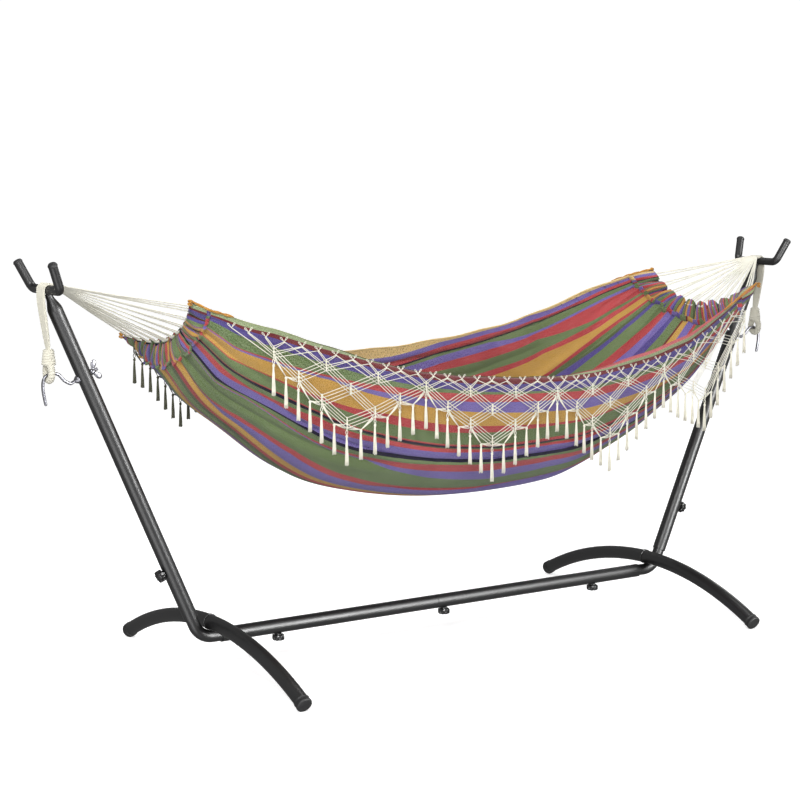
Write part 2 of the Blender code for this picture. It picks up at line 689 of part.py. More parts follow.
class Fringe:
    """Knotted lace that hangs from one edge: a band, rows of diamonds narrowing to points, and tassels."""

    def __init__(self, guide, way):
        self.guide, self.way = guide, way
        self.bm = bmesh.new()

    def at(self, t, drop):
        out = Vector((0, self.way * FRINGE_OUT, -0.002 - drop))
        return self.bm.verts.new(along_guide(self.guide, t) + out)

    def face(self, *verts):
        self.bm.faces.new(verts)

    def band(self):
        """The band and, on its lower edge, the first row of half knots, as a dict by place."""
        top, low, knots = [self.at(0.0, 0.0)], [self.at(0.0, NET_BAND)], {}
        for k in range(sum(SCALLOP_SPANS) + 1):
            centre = FIRST_KNOT + k * KNOT_STEP
            pair = []
            for shift in (-KNOT_T, KNOT_T):
                top.append(self.at(centre + shift, 0.0))
                pair.append(self.at(centre + shift, NET_BAND))
            low += pair
            tip = self.at(centre, NET_BAND + KNOT_DROP)
            self.face(pair[0], pair[1], tip)
            knots[k] = {"left": (pair[0], tip), "right": (tip, pair[1])}
        top.append(self.at(1.0, 0.0))
        low.append(self.at(1.0, NET_BAND))
        for j in range(len(top) - 1):
            self.face(top[j], top[j + 1], low[j + 1], low[j])
        return knots

    def knot(self, t, drop):
        left, right = self.at(t - KNOT_T, drop), self.at(t + KNOT_T, drop)
        high, low = self.at(t, drop - KNOT_DROP), self.at(t, drop + KNOT_DROP)
        self.face(left, low, right, high)
        upper = {"upper_left": (left, high), "upper_right": (high, right)}
        return {**upper, "left": (left, low), "right": (low, right)}

    def strand(self, start, end, tassels):
        """A strand between the sides of two knots, each a pair: (outer or lower, inner or upper)."""
        shares = [0.0, 0.20, 0.36, 0.64, 0.80, 1.0] if tassels else [0.0, 1.0]
        lower, upper = [], []
        for f in shares:
            if f in (0.0, 1.0):
                pair = start if f == 0.0 else end
                lower.append(pair[0])
                upper.append(pair[1])
            else:
                lower.append(self.bm.verts.new(start[0].co.lerp(end[0].co, f)))
                upper.append(self.bm.verts.new(start[1].co.lerp(end[1].co, f)))
        for j in range(len(shares) - 1):
            self.face(lower[j], lower[j + 1], upper[j + 1], upper[j])
        if tassels:
            for j in (1, 3):
                self.tassel(lower[j], lower[j + 1])

    def tassel(self, a, b):
        middle = (a.co + b.co) / 2
        half = (b.co - a.co) / 2
        half.z = 0
        half = half.normalized() * TASSEL_R
        down = Vector((0, 0, -TASSEL_LENGTH))
        self.face(a, b, self.bm.verts.new(middle + down + half), self.bm.verts.new(middle + down - half))

    def build(self, name):
        rows = self.band()
        first = 0
        for span in SCALLOP_SPANS:
            above = [rows[first + k] for k in range(span + 1)]
            for row in range(1, span + 1):
                current = []
                for k in range(span + 1 - row):
                    place = FIRST_KNOT + (first + k + row / 2) * KNOT_STEP
                    current.append(self.knot(place, ROW_DROPS[row - 1]))
                for k, knot in enumerate(current):
                    high, far = above[k]["right"], above[k + 1]["left"]
                    self.strand(high, knot["upper_left"], k == 0)
                    self.strand(far[::-1], knot["upper_right"][::-1], k == len(current) - 1)
                above = current
            first += span
        bmesh.ops.recalc_face_normals(self.bm, faces=self.bm.faces[:])
        mesh = bpy.data.meshes.new(name)
        self.bm.to_mesh(mesh)
        self.bm.free()
        return thicken(bpy.data.objects.new(name, mesh), NET_T)


def make_corner_ties(shop):
    """The knot that ends the hem at each corner of the cloth."""
    for side, word in SIDES:
        guide = HEADER_LEFT if side < 0 else HEADER_RIGHT
        for way, name in WAYS:
            centre = header_line(guide, 0.0 if way < 0 else 1.0) + Vector((side * 0.006, way * 0.014, 0.004))
            points = [centre + Vector((0, 0, z)) for z in (0.014, 0.006, 0.0, -0.007, -0.013)]
            tie = wire(f"corner_tie_{name}_{word}", points, 0.0095, 2, [0.32, 0.79, 1.0, 0.74, 0.32])
            shop.hang(shop.part(tie, tie_cotton()))


def main():
    for obj in list(bpy.data.objects):
        bpy.data.objects.remove(obj, do_unlink=True)
    shop = Shop()
    make_beam(shop)
    make_knobs(shop)
    for side, word in SIDES:
        guide = HEADER_LEFT if side < 0 else HEADER_RIGHT
        shop.part(bent_tube(f"elbow_{word}", elbow_path(side), STUB_R, 4), black_steel())
        make_feet(shop, side, word)
        make_upright(shop, side, word)
        make_head_bar(shop, side, word)
        make_hook(shop, side, word)
        make_wing_nut(shop, side, word)
        make_bundle(shop, side, word)
        make_eye(shop, side, word)
        make_header(shop, side, word, guide)
        make_strings(shop, side, word, guide)
    make_bed(shop)
    make_hem(shop, "hem_near", 0.0)
    make_hem(shop, "hem_far", 1.0)
    shop.hang(shop.part(Fringe(NEAR_EDGE, -1).build("fringe_near"), cotton_cord()))
    shop.hang(shop.part(Fringe(FAR_EDGE, 1).build("fringe_far"), cotton_cord()))
    make_corner_ties(shop)


main()
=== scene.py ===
"""A striped cloth hammock with knotted fringes on a black tube stand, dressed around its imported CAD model.

Metres, +Z up. The guides of the cloth and the sizes of the stand's tubes are those of the CAD part. The
tube's radius, the beam, the splice and the width of the feet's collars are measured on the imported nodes.
"""

import math

import bmesh
import bpy
import numpy as np
from mathutils import Matrix, Vector


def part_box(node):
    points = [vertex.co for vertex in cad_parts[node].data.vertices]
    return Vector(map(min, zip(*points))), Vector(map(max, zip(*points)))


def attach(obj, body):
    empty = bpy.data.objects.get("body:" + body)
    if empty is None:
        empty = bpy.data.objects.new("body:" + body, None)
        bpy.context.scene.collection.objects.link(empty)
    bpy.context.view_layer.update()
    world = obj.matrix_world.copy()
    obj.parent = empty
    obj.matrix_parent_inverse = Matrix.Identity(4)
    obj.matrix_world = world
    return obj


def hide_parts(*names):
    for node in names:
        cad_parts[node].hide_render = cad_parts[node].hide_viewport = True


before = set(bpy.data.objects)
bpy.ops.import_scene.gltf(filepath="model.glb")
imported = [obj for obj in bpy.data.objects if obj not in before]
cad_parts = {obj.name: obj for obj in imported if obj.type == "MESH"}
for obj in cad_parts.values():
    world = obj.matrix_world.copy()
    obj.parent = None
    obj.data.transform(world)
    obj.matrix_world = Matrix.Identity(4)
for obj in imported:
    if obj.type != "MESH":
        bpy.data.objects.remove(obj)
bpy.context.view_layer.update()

SIDES = ((-1, "left"), (1, "right"))
WAYS = ((-1, "front"), (1, "back"))
# The gap that touching pieces keep, and how near two points must be to be joined.
GAP = 0.0003
WELD = 0.000002

# --- Sizes: stand ---------------------------------------------------------------------------------
beam_low, beam_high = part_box("beam_right")
TUBE_R = (beam_high.z - beam_low.z) / 2
BEAM_Z = (beam_high.z + beam_low.z) / 2
BEAM_END_X = beam_high.x
BEAM_JOINT_X = beam_low.x
ring_low, ring_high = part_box("foot_ring_right")
WALL = 0.0024
BORE_SHOWN = 0.05
# The rolled edge of a cut tube: (radius, distance from the end).
CUT_EDGE = [(TUBE_R - 0.0013, 0.0), (TUBE_R - 0.0005, 0.0002), (TUBE_R, 0.0009)]
STUB_R = 0.018
STUB_IN = 0.07
LEAN = math.radians(24.0)
ELBOW_R = 0.064
SLEEVE_STEP = 0.024
HEAD_X = 1.311
HEAD_Z = 1.117
NECK_LENGTH = 0.062
NECK_TAPER = 0.042
NECK_R = 0.0105
BAR_R = 0.0125
BAR_HALF = 0.0895
PRONG = Vector((0.030, 0.021, 0.068))
PRONG_BEND = 0.022
RING_R = (ring_high.x - ring_low.x) / 2
RING_SEAT = 0.0232
RING_HALF = 0.0045
FOOT_SPAN = 0.516
CAP_R = 0.0230
CAP_LENGTH = 0.021
CAP_FLAT = 0.0018
CROOK = math.radians(20.0)
KNOB_R = 0.0185
KNOB_HEIGHT = 0.021
KNOB_LOBES = 8
FLUTE = 0.0016
BEAM_KNOBS = {"left": -0.5986, "middle": 0.0, "right": 0.5986}
UPRIGHT_KNOB_Z = 0.312
HOOK_Z = 0.879
ROD_R = 0.0045
THREAD_DEPTH = 0.07
THREAD_STEPS = 80
STEPS_PER_TURN = 5
WING_LENGTH = 0.0285
WING_HALF = 0.0086
WING_FLATNESS = 0.30
HOOK_BENDS = [(1.2640, 0.8700), (1.2830, 0.8885), (1.3090, 0.8892), (1.3240, 0.8760),
              (1.3265, 0.8480), (1.3190, 0.8050)]
# Sides of a round piece of the stand.
ROUND = 56

# --- Sizes: ropes ---------------------------------------------------------------------------------
STRINGS = 22
STRING_R = 0.00150
# Where the cords leave the head bar: how far in and up from its middle, and half their spread.
STRING_START_X = 0.0152
STRING_START_Z = 0.0142
STRING_START_HALF = 0.0175
EYE_X = 1.3085
EYE_Z = 0.8960
EYE_HALF_Y = 0.0180
EYE_HALF_Z = 0.0225
EYE_R = 0.0102
WHIP_PITCH = 0.0072
WHIPPING = (0.9260, 0.9560)
BUNDLE_WRAP = math.radians(134.0)
BUNDLE_HALF = 0.0225
BUNDLE_CORDS = STRINGS // 2
BUNDLE_CORD_R = 0.0021

# --- Sizes: cloth ---------------------------------------------------------------------------------
NEAR_EDGE = [(-0.930, -0.215, 1.052), (-0.680, -0.258, 0.979), (-0.344, -0.272, 0.889),
             (-0.095, -0.276, 0.848), (0.215, -0.278, 0.827), (0.404, -0.277, 0.830),
             (0.688, -0.274, 0.877), (0.817, -0.270, 0.924), (0.965, -0.262, 1.000)]
FAR_EDGE = [(-0.935, 0.190, 0.933), (-0.680, 0.241, 0.894), (-0.344, 0.262, 0.866),
            (-0.043, 0.272, 0.860), (0.241, 0.268, 0.894), (0.430, 0.256, 0.926),
            (0.568, 0.241, 0.964), (0.760, 0.185, 1.040), (0.860, 0.140, 1.072)]
BOTTOM = [(-0.940, 0.0, 0.899), (-0.860, 0.0, 0.790), (-0.748, 0.0, 0.697), (-0.585, 0.0, 0.571),
          (-0.430, -0.008, 0.503), (-0.172, -0.015, 0.455), (0.086, -0.017, 0.446),
          (0.344, -0.017, 0.471), (0.559, -0.020, 0.559), (0.688, -0.026, 0.645),
          (0.800, -0.043, 0.730), (0.880, -0.060, 0.820), (0.962, -0.070, 0.926)]
HEADER_LEFT = [(-0.989, -0.205, 1.084), (-0.950, -0.012, 0.968), (-1.000, 0.170, 0.968)]
HEADER_RIGHT = [(1.045, -0.269, 1.061), (0.967, -0.078, 0.990), (0.943, 0.114, 1.094)]
CLOTH_T = 0.0016
WARP_PITCH = 0.0011
WEFT_PITCH = 0.0014
STITCH_PITCH = 0.0075
CLOTH_ALONG = 260
CLOTH_ACROSS = 520
CLOTH_LENGTH = 2.0
CLOTH_WIDTH = 1.3
PLEATS = 9
PLEAT_DEPTH = 0.011
PLEAT_REACH = 0.22
# The strip above the near fringe: how far it leans inward and stands up, along the cloth. Then how far
# the far edge's strip stands up.
STRIP_STATIONS = (0.0, 0.1, 0.3, 0.6, 0.72, 0.85, 1.0)
STRIP_INWARD = (0.004, 0.003, 0.014, 0.014, 0.008, 0.002, -0.004)
STRIP_RISE = (0.002, 0.001, -0.018, -0.015, 0.003, 0.017, 0.015)
FAR_STRIP_STATIONS = (0.0, 0.25, 0.50, 0.65)
FAR_STRIP_RISE = (0.002, 0.010, 0.010, 0.0)
# How far below each edge its strip of cloth reaches.
NEAR_STRIP = 0.024
FAR_STRIP = 0.020

# Colours as they look under white light.
GREEN = (104, 130, 78)
DEEP_GREEN = (72, 92, 50)
SAGE = (150, 168, 124)
RED = (192, 58, 66)
MAROON = (112, 22, 34)
PINK = (216, 104, 112)
PURPLE = (116, 102, 182)
BLUE = (74, 62, 148)
GOLD = (208, 162, 70)
CREAM = (226, 196, 130)
NAVY_AND_CREASE_SHADE = (26, 20, 48)

# The stripes from the near edge to the far edge: colour, and where each one ends across the cloth.
# The navy stripes lie along creases in FOLDS: partly the cloth's navy yarn and partly painted shade that
# darkens those creases.
STRIPES = [
    (PINK, .003), (SAGE, .010), (MAROON, .021), (BLUE, .036), (GREEN, .046), (RED, .060), (PURPLE, .082),
    (GOLD, .117), (RED, .136), (GREEN, .168), (RED, .172), (NAVY_AND_CREASE_SHADE, .184), (GREEN, .196), (RED, .222),
    (PURPLE, .252), (NAVY_AND_CREASE_SHADE, .259), (GREEN, .284), (RED, .314), (PURPLE, .354), (GREEN, .422), (RED, .446),
    (PURPLE, .490), (GOLD, .516), (RED, .556), (DEEP_GREEN, .570), (GREEN, .590), (RED, .600), (PURPLE, .620),
    (GOLD, .640), (MAROON, .646), (GREEN, .668), (BLUE, .682), (PURPLE, .700), (RED, .722), (GREEN, .758),
    (BLUE, .783), (DEEP_GREEN, .790), (GREEN, .802), (RED, .812), (GOLD, .869), (RED, .883), (GREEN, .920),
    (RED, .941), (PURPLE, .950), (GREEN, .971), (NAVY_AND_CREASE_SHADE, .976), (RED, .986), (PURPLE, .996), (CREAM, 1.01)]

# Where stripe borders run on the hung cloth, near side then far side, in thousandths of its width: the
# border's place on the flat cloth, then its place across the hung cloth at each station along it.
NEAR_STATIONS = (0.05, 0.10, 0.20, 0.30, 0.40, 0.50, 0.60, 0.70, 0.85, 1.00)
NEAR_BORDERS = [
    (0, (-30, -12, -8, -8, -6, -4, -2, 0, 0, 0)),
    (10, (30, 15, 9, 2, 0, 0, 1, 5, 10, 20)),
    (21, (45, 32, 22, 20, 21, 21, 16, 12, 16, 30)),
    (36, (78, 60, 42, 38, 36, 37, 34, 32, 34, 50)),
    (46, (140, 112, 70, 48, 42, 40, 37, 38, 52, 70)),
    (60, (144, 118, 76, 66, 60, 58, 56, 60, 70, 90)),
    (82, (148, 124, 80, 78, 82, 83, 83, 86, 106, 120)),
    (117, (198, 174, 136, 116, 118, 116, 115, 112, 114, 135)),
    (136, (200, 176, 144, 138, 138, 132, 120, 116, 118, 140)),
    (168, (233, 217, 176, 169, 170, 166, 150, 148, 158, 180)),
    (172, (234, 218, 180, 172, 175, 173, 162, 160, 164, 186)),
    (184, (245, 230, 190, 184, 186, 183, 172, 168, 172, 195)),
    (196, (254, 252, 196, 186, 188, 185, 174, 172, 178, 200)),
    (222, (280, 256, 222, 196, 195, 188, 178, 180, 190, 215)),
    (252, (305, 286, 240, 227, 224, 219, 204, 200, 210, 235)),
    (259, (320, 290, 250, 236, 231, 226, 212, 208, 218, 243)),
    (284, (328, 298, 275, 252, 236, 230, 218, 222, 230, 255)),
    (314, (329, 299, 279, 268, 266, 262, 240, 240, 250, 275)),
    (354, (330, 300, 280, 270, 296, 304, 272, 265, 280, 300)),
    (422, (420, 400, 348, 348, 356, 360, 325, 300, 310, 330)),
    (446, (428, 416, 374, 374, 380, 380, 345, 320, 330, 350)),
    (490, (432, 444, 424, 424, 420, 420, 385, 360, 360, 380)),
    (516, (460, 470, 460, 450, 440, 436, 400, 380, 380, 400)),
    (556, (500, 500, 490, 480, 475, 470, 440, 420, 420, 430))]
FAR_STATIONS = (0.0, 0.5, 0.6, 0.7, 0.8, 0.9, 1.0)
FAR_BORDERS = [
    (700, (700, 700, 700, 700, 700, 680, 650)),
    (722, (730, 730, 730, 725, 722, 710, 680)),
    (758, (765, 765, 765, 762, 758, 752, 730)),
    (783, (790, 790, 790, 788, 786, 765, 745)),
    (812, (830, 830, 830, 822, 808, 808, 775)),
    (869, (885, 885, 890, 881, 870, 826, 800)),
    (883, (905, 905, 905, 897, 882, 850, 815)),
    (920, (935, 935, 934, 928, 921, 860, 825)),
    (941, (930, 938, 949, 949, 941, 918, 880)),
    (950, (955, 958, 968, 969, 947, 927, 900)),
    (971, (958, 962, 972, 972, 972, 948, 920)),
    (976, (961, 966, 977, 978, 978, 953, 930)),
    (986, (972, 977, 987, 989, 985, 965, 950)),
    (996, (982, 986, 994, 996, 997, 985, 975)),
    (1010, (1010, 1010, 1010, 1010, 1010, 1010, 1010))]

# Folds that run along the cloth: (share of the length, place across) points, depth, width.
FOLDS = [
    ([(0.14, 0.245), (0.20, 0.236), (0.27, 0.228), (0.45, 0.224), (0.60, 0.203), (0.72, 0.205)],
     0.011, 0.0050),
    ([(0.00, 0.395), (0.10, 0.348), (0.20, 0.300), (0.28, 0.272), (0.36, 0.262)], 0.009, 0.0120),
    ([(0.16, 0.200), (0.25, 0.186), (0.45, 0.187), (0.60, 0.172), (0.75, 0.178)], 0.006, 0.0045),
    ([(0.32, 0.375), (0.50, 0.372), (0.68, 0.330)], 0.008, 0.0120),
    ([(0.42, 0.973), (0.60, 0.974), (0.80, 0.974), (0.92, 0.950)], 0.010, 0.0045),
    ([(0.55, 0.908), (0.70, 0.912), (0.82, 0.900)], 0.006, 0.0080),
    ([(0.68, 0.800), (0.80, 0.790), (0.92, 0.782)], 0.008, 0.0090)]

# --- Sizes: headers -------------------------------------------------------------------------------
PUFFS = 10
# Where the patches along the seam start, as a share of the header's length.
PATCH = 0.84
HEADER_LENGTH = 0.10
LINING_T = 0.0012
PATCH_T = 0.0020

# --- Sizes: fringes -------------------------------------------------------------------------------
# Where the scallops start and end along the edge, how far the left end is raised, how much it leans,
# and the length of a tassel.
NEAR_LACE = ((0.101, 0.352, 0.600, 0.817, 1.020), 0.0, 0.19, 0.087)
FAR_LACE = ((-0.012, 0.180, 0.434, 0.688, 0.942), 0.080, 0.0, 0.072)
SPANS = 3
EDGE_DROP = 0.024
NODE_STEP = 0.082
ROW_DROPS = (0.058, 0.107, 0.155, 0.204)
THREAD_R = 0.00112
BAND_THREADS = 4
BAND_STEP = 0.0098
BAND_HALF = BAND_STEP * BAND_THREADS / 2
# How far outside the cloth's edge the lace hangs.
LACE_OUT = 0.0065
# The share of the edge that sets how it runs on past its ends.
END_SPAN = 0.02
TASSEL_R = 0.0060
STRAND_R = 0.00115
GOLDEN_ANGLE = 2.399

# --- Sizes: stage ---------------------------------------------------------------------------------
FLOOR_HALF = 14.0
FLOOR_Z = -0.0004
BACKDROP_R = 13.5
# Name, place, aim, size, power, and whether it shows in shiny metal alone.
LIGHTS = (
    ("key", (-3.4, -3.2, 3.2), (0, 0, 0.7), (1.2, 1.8), 170, False),
    ("fill", (-2.6, -5.6, 0.7), (-0.2, 0, 0.8), (2.4, 1.4), 105, False),
    ("top", (0.6, 0.8, 4.2), (0, 0, 0.6), (2.4, 1.2), 60, False),
    ("rim", (4.6, 2.2, 1.8), (0.4, 0, 0.7), (0.5, 2.0), 22, False),
    ("streak_left", (-3.9, -2.8, -2.2), (-1.1, 0, 0.6), (3.4, 2.6), 130, True),
    ("streak_right", (2.1, -4.8, 1.2), (1.1, 0, 0.6), (1.1, 2.6), 400, True),
    ("streak_beam", (2.6, -3.6, 2.5), (0, 0, 0.24), (2.8, 1.8), 170, True))
# Each fade of the world's light: its direction, the range of the dot product, and the light at both ends.
WORLD_FADES = (((0, 0, 1), (-0.7, 0.8, 0.46, 0.60)), ((0.566, 0.824, 0), (-0.1, 0.8, 1.0, 0.42)))
CAMERA_PLACE = (-3.5231, -4.8913, 1.4695)
CAMERA_DOWN = 7.0
CAMERA_TURN = -34.47
CAMERA_LENS = 89.12


# --- Mesh building --------------------------------------------------------------------------------

class Shape:
    """Grids and tubes gathered into one mesh, each with its own texture coordinates in metres."""

    def __init__(self):
        self.verts, self.faces, self.uvs, self.count = [], [], [], 0

    def grid(self, points, uv, wrap=False):
        rows, cols = points.shape[:2]
        i, j = np.meshgrid(np.arange(rows - 1), np.arange(cols if wrap else cols - 1), indexing="ij")
        k = (j + 1) % cols
        base = self.count
        quads = np.stack([i * cols + j, i * cols + k, (i + 1) * cols + k, (i + 1) * cols + j], -1) + base
        corners = np.stack([uv[i, j], uv[i, j + 1], uv[i + 1, j + 1], uv[i + 1, j]], -2)
        self.verts.append(points.reshape(-1, 3))
        self.faces += quads.reshape(-1, 4).tolist()
        self.uvs.append(corners.reshape(-1, 2))
        self.count += rows * cols
        return base

    def cap(self, ring):
        self.faces.append(list(ring))
        self.uvs.append(np.zeros((len(ring), 2)))

    def tube(self, points, radius, sides=8, closed=False, lobes=0, pitch=0.012, depth=0.12):
        """A rod along the points. Lobes twist round it like the strands of a cord."""
        points = np.asarray(points, float)
        side, up, lengths = rod_frames(points, closed)
        angle = np.arange(sides) * 2 * math.pi / sides
        radius = np.broadcast_to(np.asarray(radius, float), (len(points),))
        swell = np.ones((len(points), sides))
        if lobes:
            turn = lengths[:len(points), None] / pitch * 2 * math.pi
            swell = 1 - depth * (1 - np.abs(np.cos((angle[None, :] * lobes - turn) / 2)))
        reach = radius[:, None] * swell
        ring = (points[:, None] + side[:, None] * (reach * np.cos(angle))[..., None]
                + up[:, None] * (reach * np.sin(angle))[..., None])
        if closed:
            ring = np.concatenate([ring, ring[:1]])
        base = self.grid(ring, wrapped_uv(lengths[:len(ring)], sides, radius.mean()), wrap=True)
        if not closed:
            self.cap(range(base + sides - 1, base - 1, -1))
            end = base + (len(ring) - 1) * sides
            self.cap(range(end, end + sides))

    def object(self, name, look):
        mesh = bpy.data.meshes.new(name)
        verts = np.concatenate(self.verts)
        mesh.from_pydata(verts.tolist(), [], self.faces)
        layer = mesh.uv_layers.new(name="cloth")
        layer.data.foreach_set("uv", np.concatenate(self.uvs).astype(np.float32).ravel())
        obj = bpy.data.objects.new(name, mesh)
        bpy.context.scene.collection.objects.link(obj)
        mesh.materials.append(look)
        weld(mesh)
        mesh.shade_smooth()
        return obj


def weld(mesh):
    """Joins the points that lie in one place, such as those of a rod's seam or of a profile's centre."""
    bm = bmesh.new()
    bm.from_mesh(mesh)
    bmesh.ops.remove_doubles(bm, verts=bm.verts[:], dist=WELD)
    bm.to_mesh(mesh)
    bm.free()


def run_lengths(points):
    """The length of the line up to each of its points."""
    return np.concatenate([[0], np.cumsum(np.linalg.norm(np.diff(points, axis=0), axis=1))])


def wrapped_uv(lengths, sides, radius):
    """Texture coordinates in metres, along a rod and round it."""
    u = np.broadcast_to(lengths[:, None], (len(lengths), sides + 1))
    v = np.broadcast_to(np.arange(sides + 1) * 2 * math.pi * radius / sides, u.shape)
    return np.stack([u, v], -1)


def rod_frames(points, closed=False):
    """Two directions square to the rod at each point, turned as little as they can be, and lengths."""
    if closed:
        ahead, behind = np.roll(points, -1, 0), np.roll(points, 1, 0)
        lengths = run_lengths(np.concatenate([points, points[:1]]))
    else:
        ahead = np.concatenate([points[1:], points[-1:]])
        behind = np.concatenate([points[:1], points[:-1]])
        lengths = run_lengths(points)
    along = ahead - behind
    along /= np.linalg.norm(along, axis=1)[:, None]
    start = np.array([0.0, 0.0, 1.0]) if abs(along[0, 2]) < 0.9 else np.array([1.0, 0.0, 0.0])
    side = np.empty_like(along)
    current = np.cross(start, along[0])
    for n, direction in enumerate(along):
        current = current - direction * (current @ direction)
        current /= np.linalg.norm(current)
        side[n] = current
    return side, np.cross(along, side), lengths


def along_guides(points, shares):
    """Points on a smooth line through the guide, at these shares of its length."""
    points = np.asarray(points, float)
    lengths = run_lengths(points)
    goals = np.clip(np.atleast_1d(shares), 0, 1) * lengths[-1]
    i = np.minimum(np.searchsorted(lengths[1:], goals, side="left"), len(points) - 2)
    f = ((goals - lengths[i]) / (lengths[i + 1] - lengths[i]))[:, None]
    p1, p2 = points[i], points[i + 1]
    p0 = np.where((i > 0)[:, None], points[np.maximum(i - 1, 0)], 2 * p1 - p2)
    p3 = np.where((i + 2 < len(points))[:, None], points[np.minimum(i + 2, len(points) - 1)], 2 * p2 - p1)
    return 0.5 * (2 * p1 + (p2 - p0) * f + (2 * p0 - 5 * p1 + 4 * p2 - p3) * f ** 2
                  + (3 * p1 - p0 - 3 * p2 + p3) * f ** 3)


def smooth_step(x):
    x = np.clip(x, 0.0, 1.0)
    return x * x * (3 - 2 * x)


def arc(start_angle, end_angle, steps):
    return [start_angle + (end_angle - start_angle) * i / steps for i in range(steps + 1)]


def circle(steps):
    return arc(0, 2 * math.pi, steps)[:-1]


def rounded_corner(before, corner, after, radius, steps=10):
    a = (Vector(before) - Vector(corner)).normalized()
    b = (Vector(after) - Vector(corner)).normalized()
    half = a.angle(b) / 2
    reach = radius / math.tan(half)
    centre = Vector(corner) + (a + b).normalized() * radius / math.sin(half)
    start = (Vector(corner) + a * reach - centre).normalized()
    end = (Vector(corner) + b * reach - centre).normalized()
    return [centre + start.slerp(end, i / steps) * radius for i in range(steps + 1)]


def frame_along(direction):
    """A turn that takes +Z to the direction."""
    z = Vector(direction).normalized()
    side = Vector((0, 0, 1)) if abs(z.y) > 0.98 else Vector((0, 1, 0))
    x = side.cross(z).normalized()
    return Matrix((x, z.cross(x), z)).transposed()


def turned(name, profile, base, direction, look, steps=ROUND, sharp=35, ridge=None):
    """A (radius, height) profile turned about the direction, from the top down its outer side."""
    angle = np.arange(steps) * 2 * math.pi / steps
    profile = np.asarray(profile, float)
    radius = profile[:, 0][:, None] * np.ones(steps)
    if ridge is not None:
        radius = radius * ridge(angle)[None, :]
    height = np.broadcast_to(profile[:, 1][:, None], radius.shape)
    ring = np.stack([radius * np.cos(angle), radius * np.sin(angle), height], -1)
    ring = ring @ np.array(frame_along(direction)).T + np.array(base)
    shape = Shape()
    shape.grid(ring[:, ::-1], wrapped_uv(run_lengths(profile), steps, profile[:, 0].max()), wrap=True)
    obj = shape.object(name, look)
    obj.data.set_sharp_from_angle(angle=math.radians(sharp))
    return obj


def rod(name, points, radius, look, sides=ROUND, **more):
    shape = Shape()
    shape.tube([tuple(p) for p in points], radius, sides, **more)
    obj = shape.object(name, look)
    obj.data.set_sharp_from_angle(angle=math.radians(40))
    return obj


def stand_in(obj, body, slot, *nodes):
    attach(obj, body)
    if nodes:
        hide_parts(*nodes)
    return obj


def on_stand(obj, slot="steel"):
    """A piece of the stand, in place of the CAD node that it is named after."""
    return stand_in(obj, "stand", slot, obj.name.removesuffix("_round"))


# --- Materials ------------------------------------------------------------------------------------

class Look:
    """A node material, with short calls for the nodes that the looks here share."""

    def __init__(self, name, roughness, metallic=0.0, specular=0.5):
        self.material = bpy.data.materials.new(name)
        self.material.use_nodes = True
        self.tree = self.material.node_tree
        self.shader = self.tree.nodes["Principled BSDF"]
        self.into("Roughness", roughness)
        self.into("Metallic", metallic)
        self.into("Specular IOR Level", specular)

    def put(self, socket, value):
        """Gives a socket its plain value, or a link when the value is another node's socket."""
        if isinstance(value, bpy.types.NodeSocket):
            self.tree.links.new(value, socket)
        else:
            socket.default_value = value

    def into(self, name, value):
        self.put(self.shader.inputs[name], value)

    def sheen(self, weight, roughness):
        self.into("Sheen Weight", weight)
        self.into("Sheen Roughness", roughness)

    def node(self, kind, inputs=(), **settings):
        node = self.tree.nodes.new(kind)
        for key, value in settings.items():
            setattr(node, key, value)
        for key, value in dict(inputs).items():
            self.put(node.inputs[key], value)
        return node

    def math(self, operation, *values):
        return self.node("ShaderNodeMath", dict(enumerate(values)), operation=operation).outputs[0]

    def noise(self, vector, scale, detail=2.0, roughness=0.5):
        inputs = {"Vector": vector, "Scale": scale, "Detail": detail, "Roughness": roughness}
        return self.node("ShaderNodeTexNoise", inputs).outputs["Fac"]

    def place(self):
        return self.node("ShaderNodeTexCoord").outputs["Object"]

    def cloth_place(self):
        """Texture coordinates in metres, along and across the cloth."""
        return self.node("ShaderNodeUVMap", uv_map="cloth").outputs["UV"]

    def grain(self, vector, scales, detail=2.0, roughness=0.5):
        """Noise that is stretched: it has its own scale along each axis."""
        mapping = self.node("ShaderNodeMapping", {"Vector": vector, "Scale": scales})
        return self.noise(mapping.outputs["Vector"], 1.0, detail, roughness)

    def range(self, value, low, high, to_low, to_high):
        inputs = {"Value": value, "From Min": low, "From Max": high, "To Min": to_low, "To Max": to_high}
        return self.node("ShaderNodeMapRange", inputs).outputs["Result"]

    def mix(self, share, a, b, blend="MIX"):
        inputs = {0: share, 6: a, 7: b}
        return self.node("ShaderNodeMix", inputs, data_type="RGBA", blend_type=blend).outputs[2]

    def shade(self, value, low, high, a, b):
        """Colour a where the value is low or less, and colour b where it is high or more."""
        return self.mix(self.range(value, low, high, 0.0, 1.0), linear(a), linear(b))

    def tinted(self, colour, tint):
        return self.mix(1.0, colour, linear(tint), "MULTIPLY")

    def bump(self, height, distance, strength=1.0, under=None):
        inputs = {"Height": height, "Distance": distance, "Strength": strength}
        if under is not None:
            inputs["Normal"] = under
        return self.node("ShaderNodeBump", inputs).outputs["Normal"]


def linear(colour):
    return tuple(((c / 255 + 0.055) / 1.055) ** 2.4 if c > 10 else c / 255 / 12.92 for c in colour) + (1.0,)


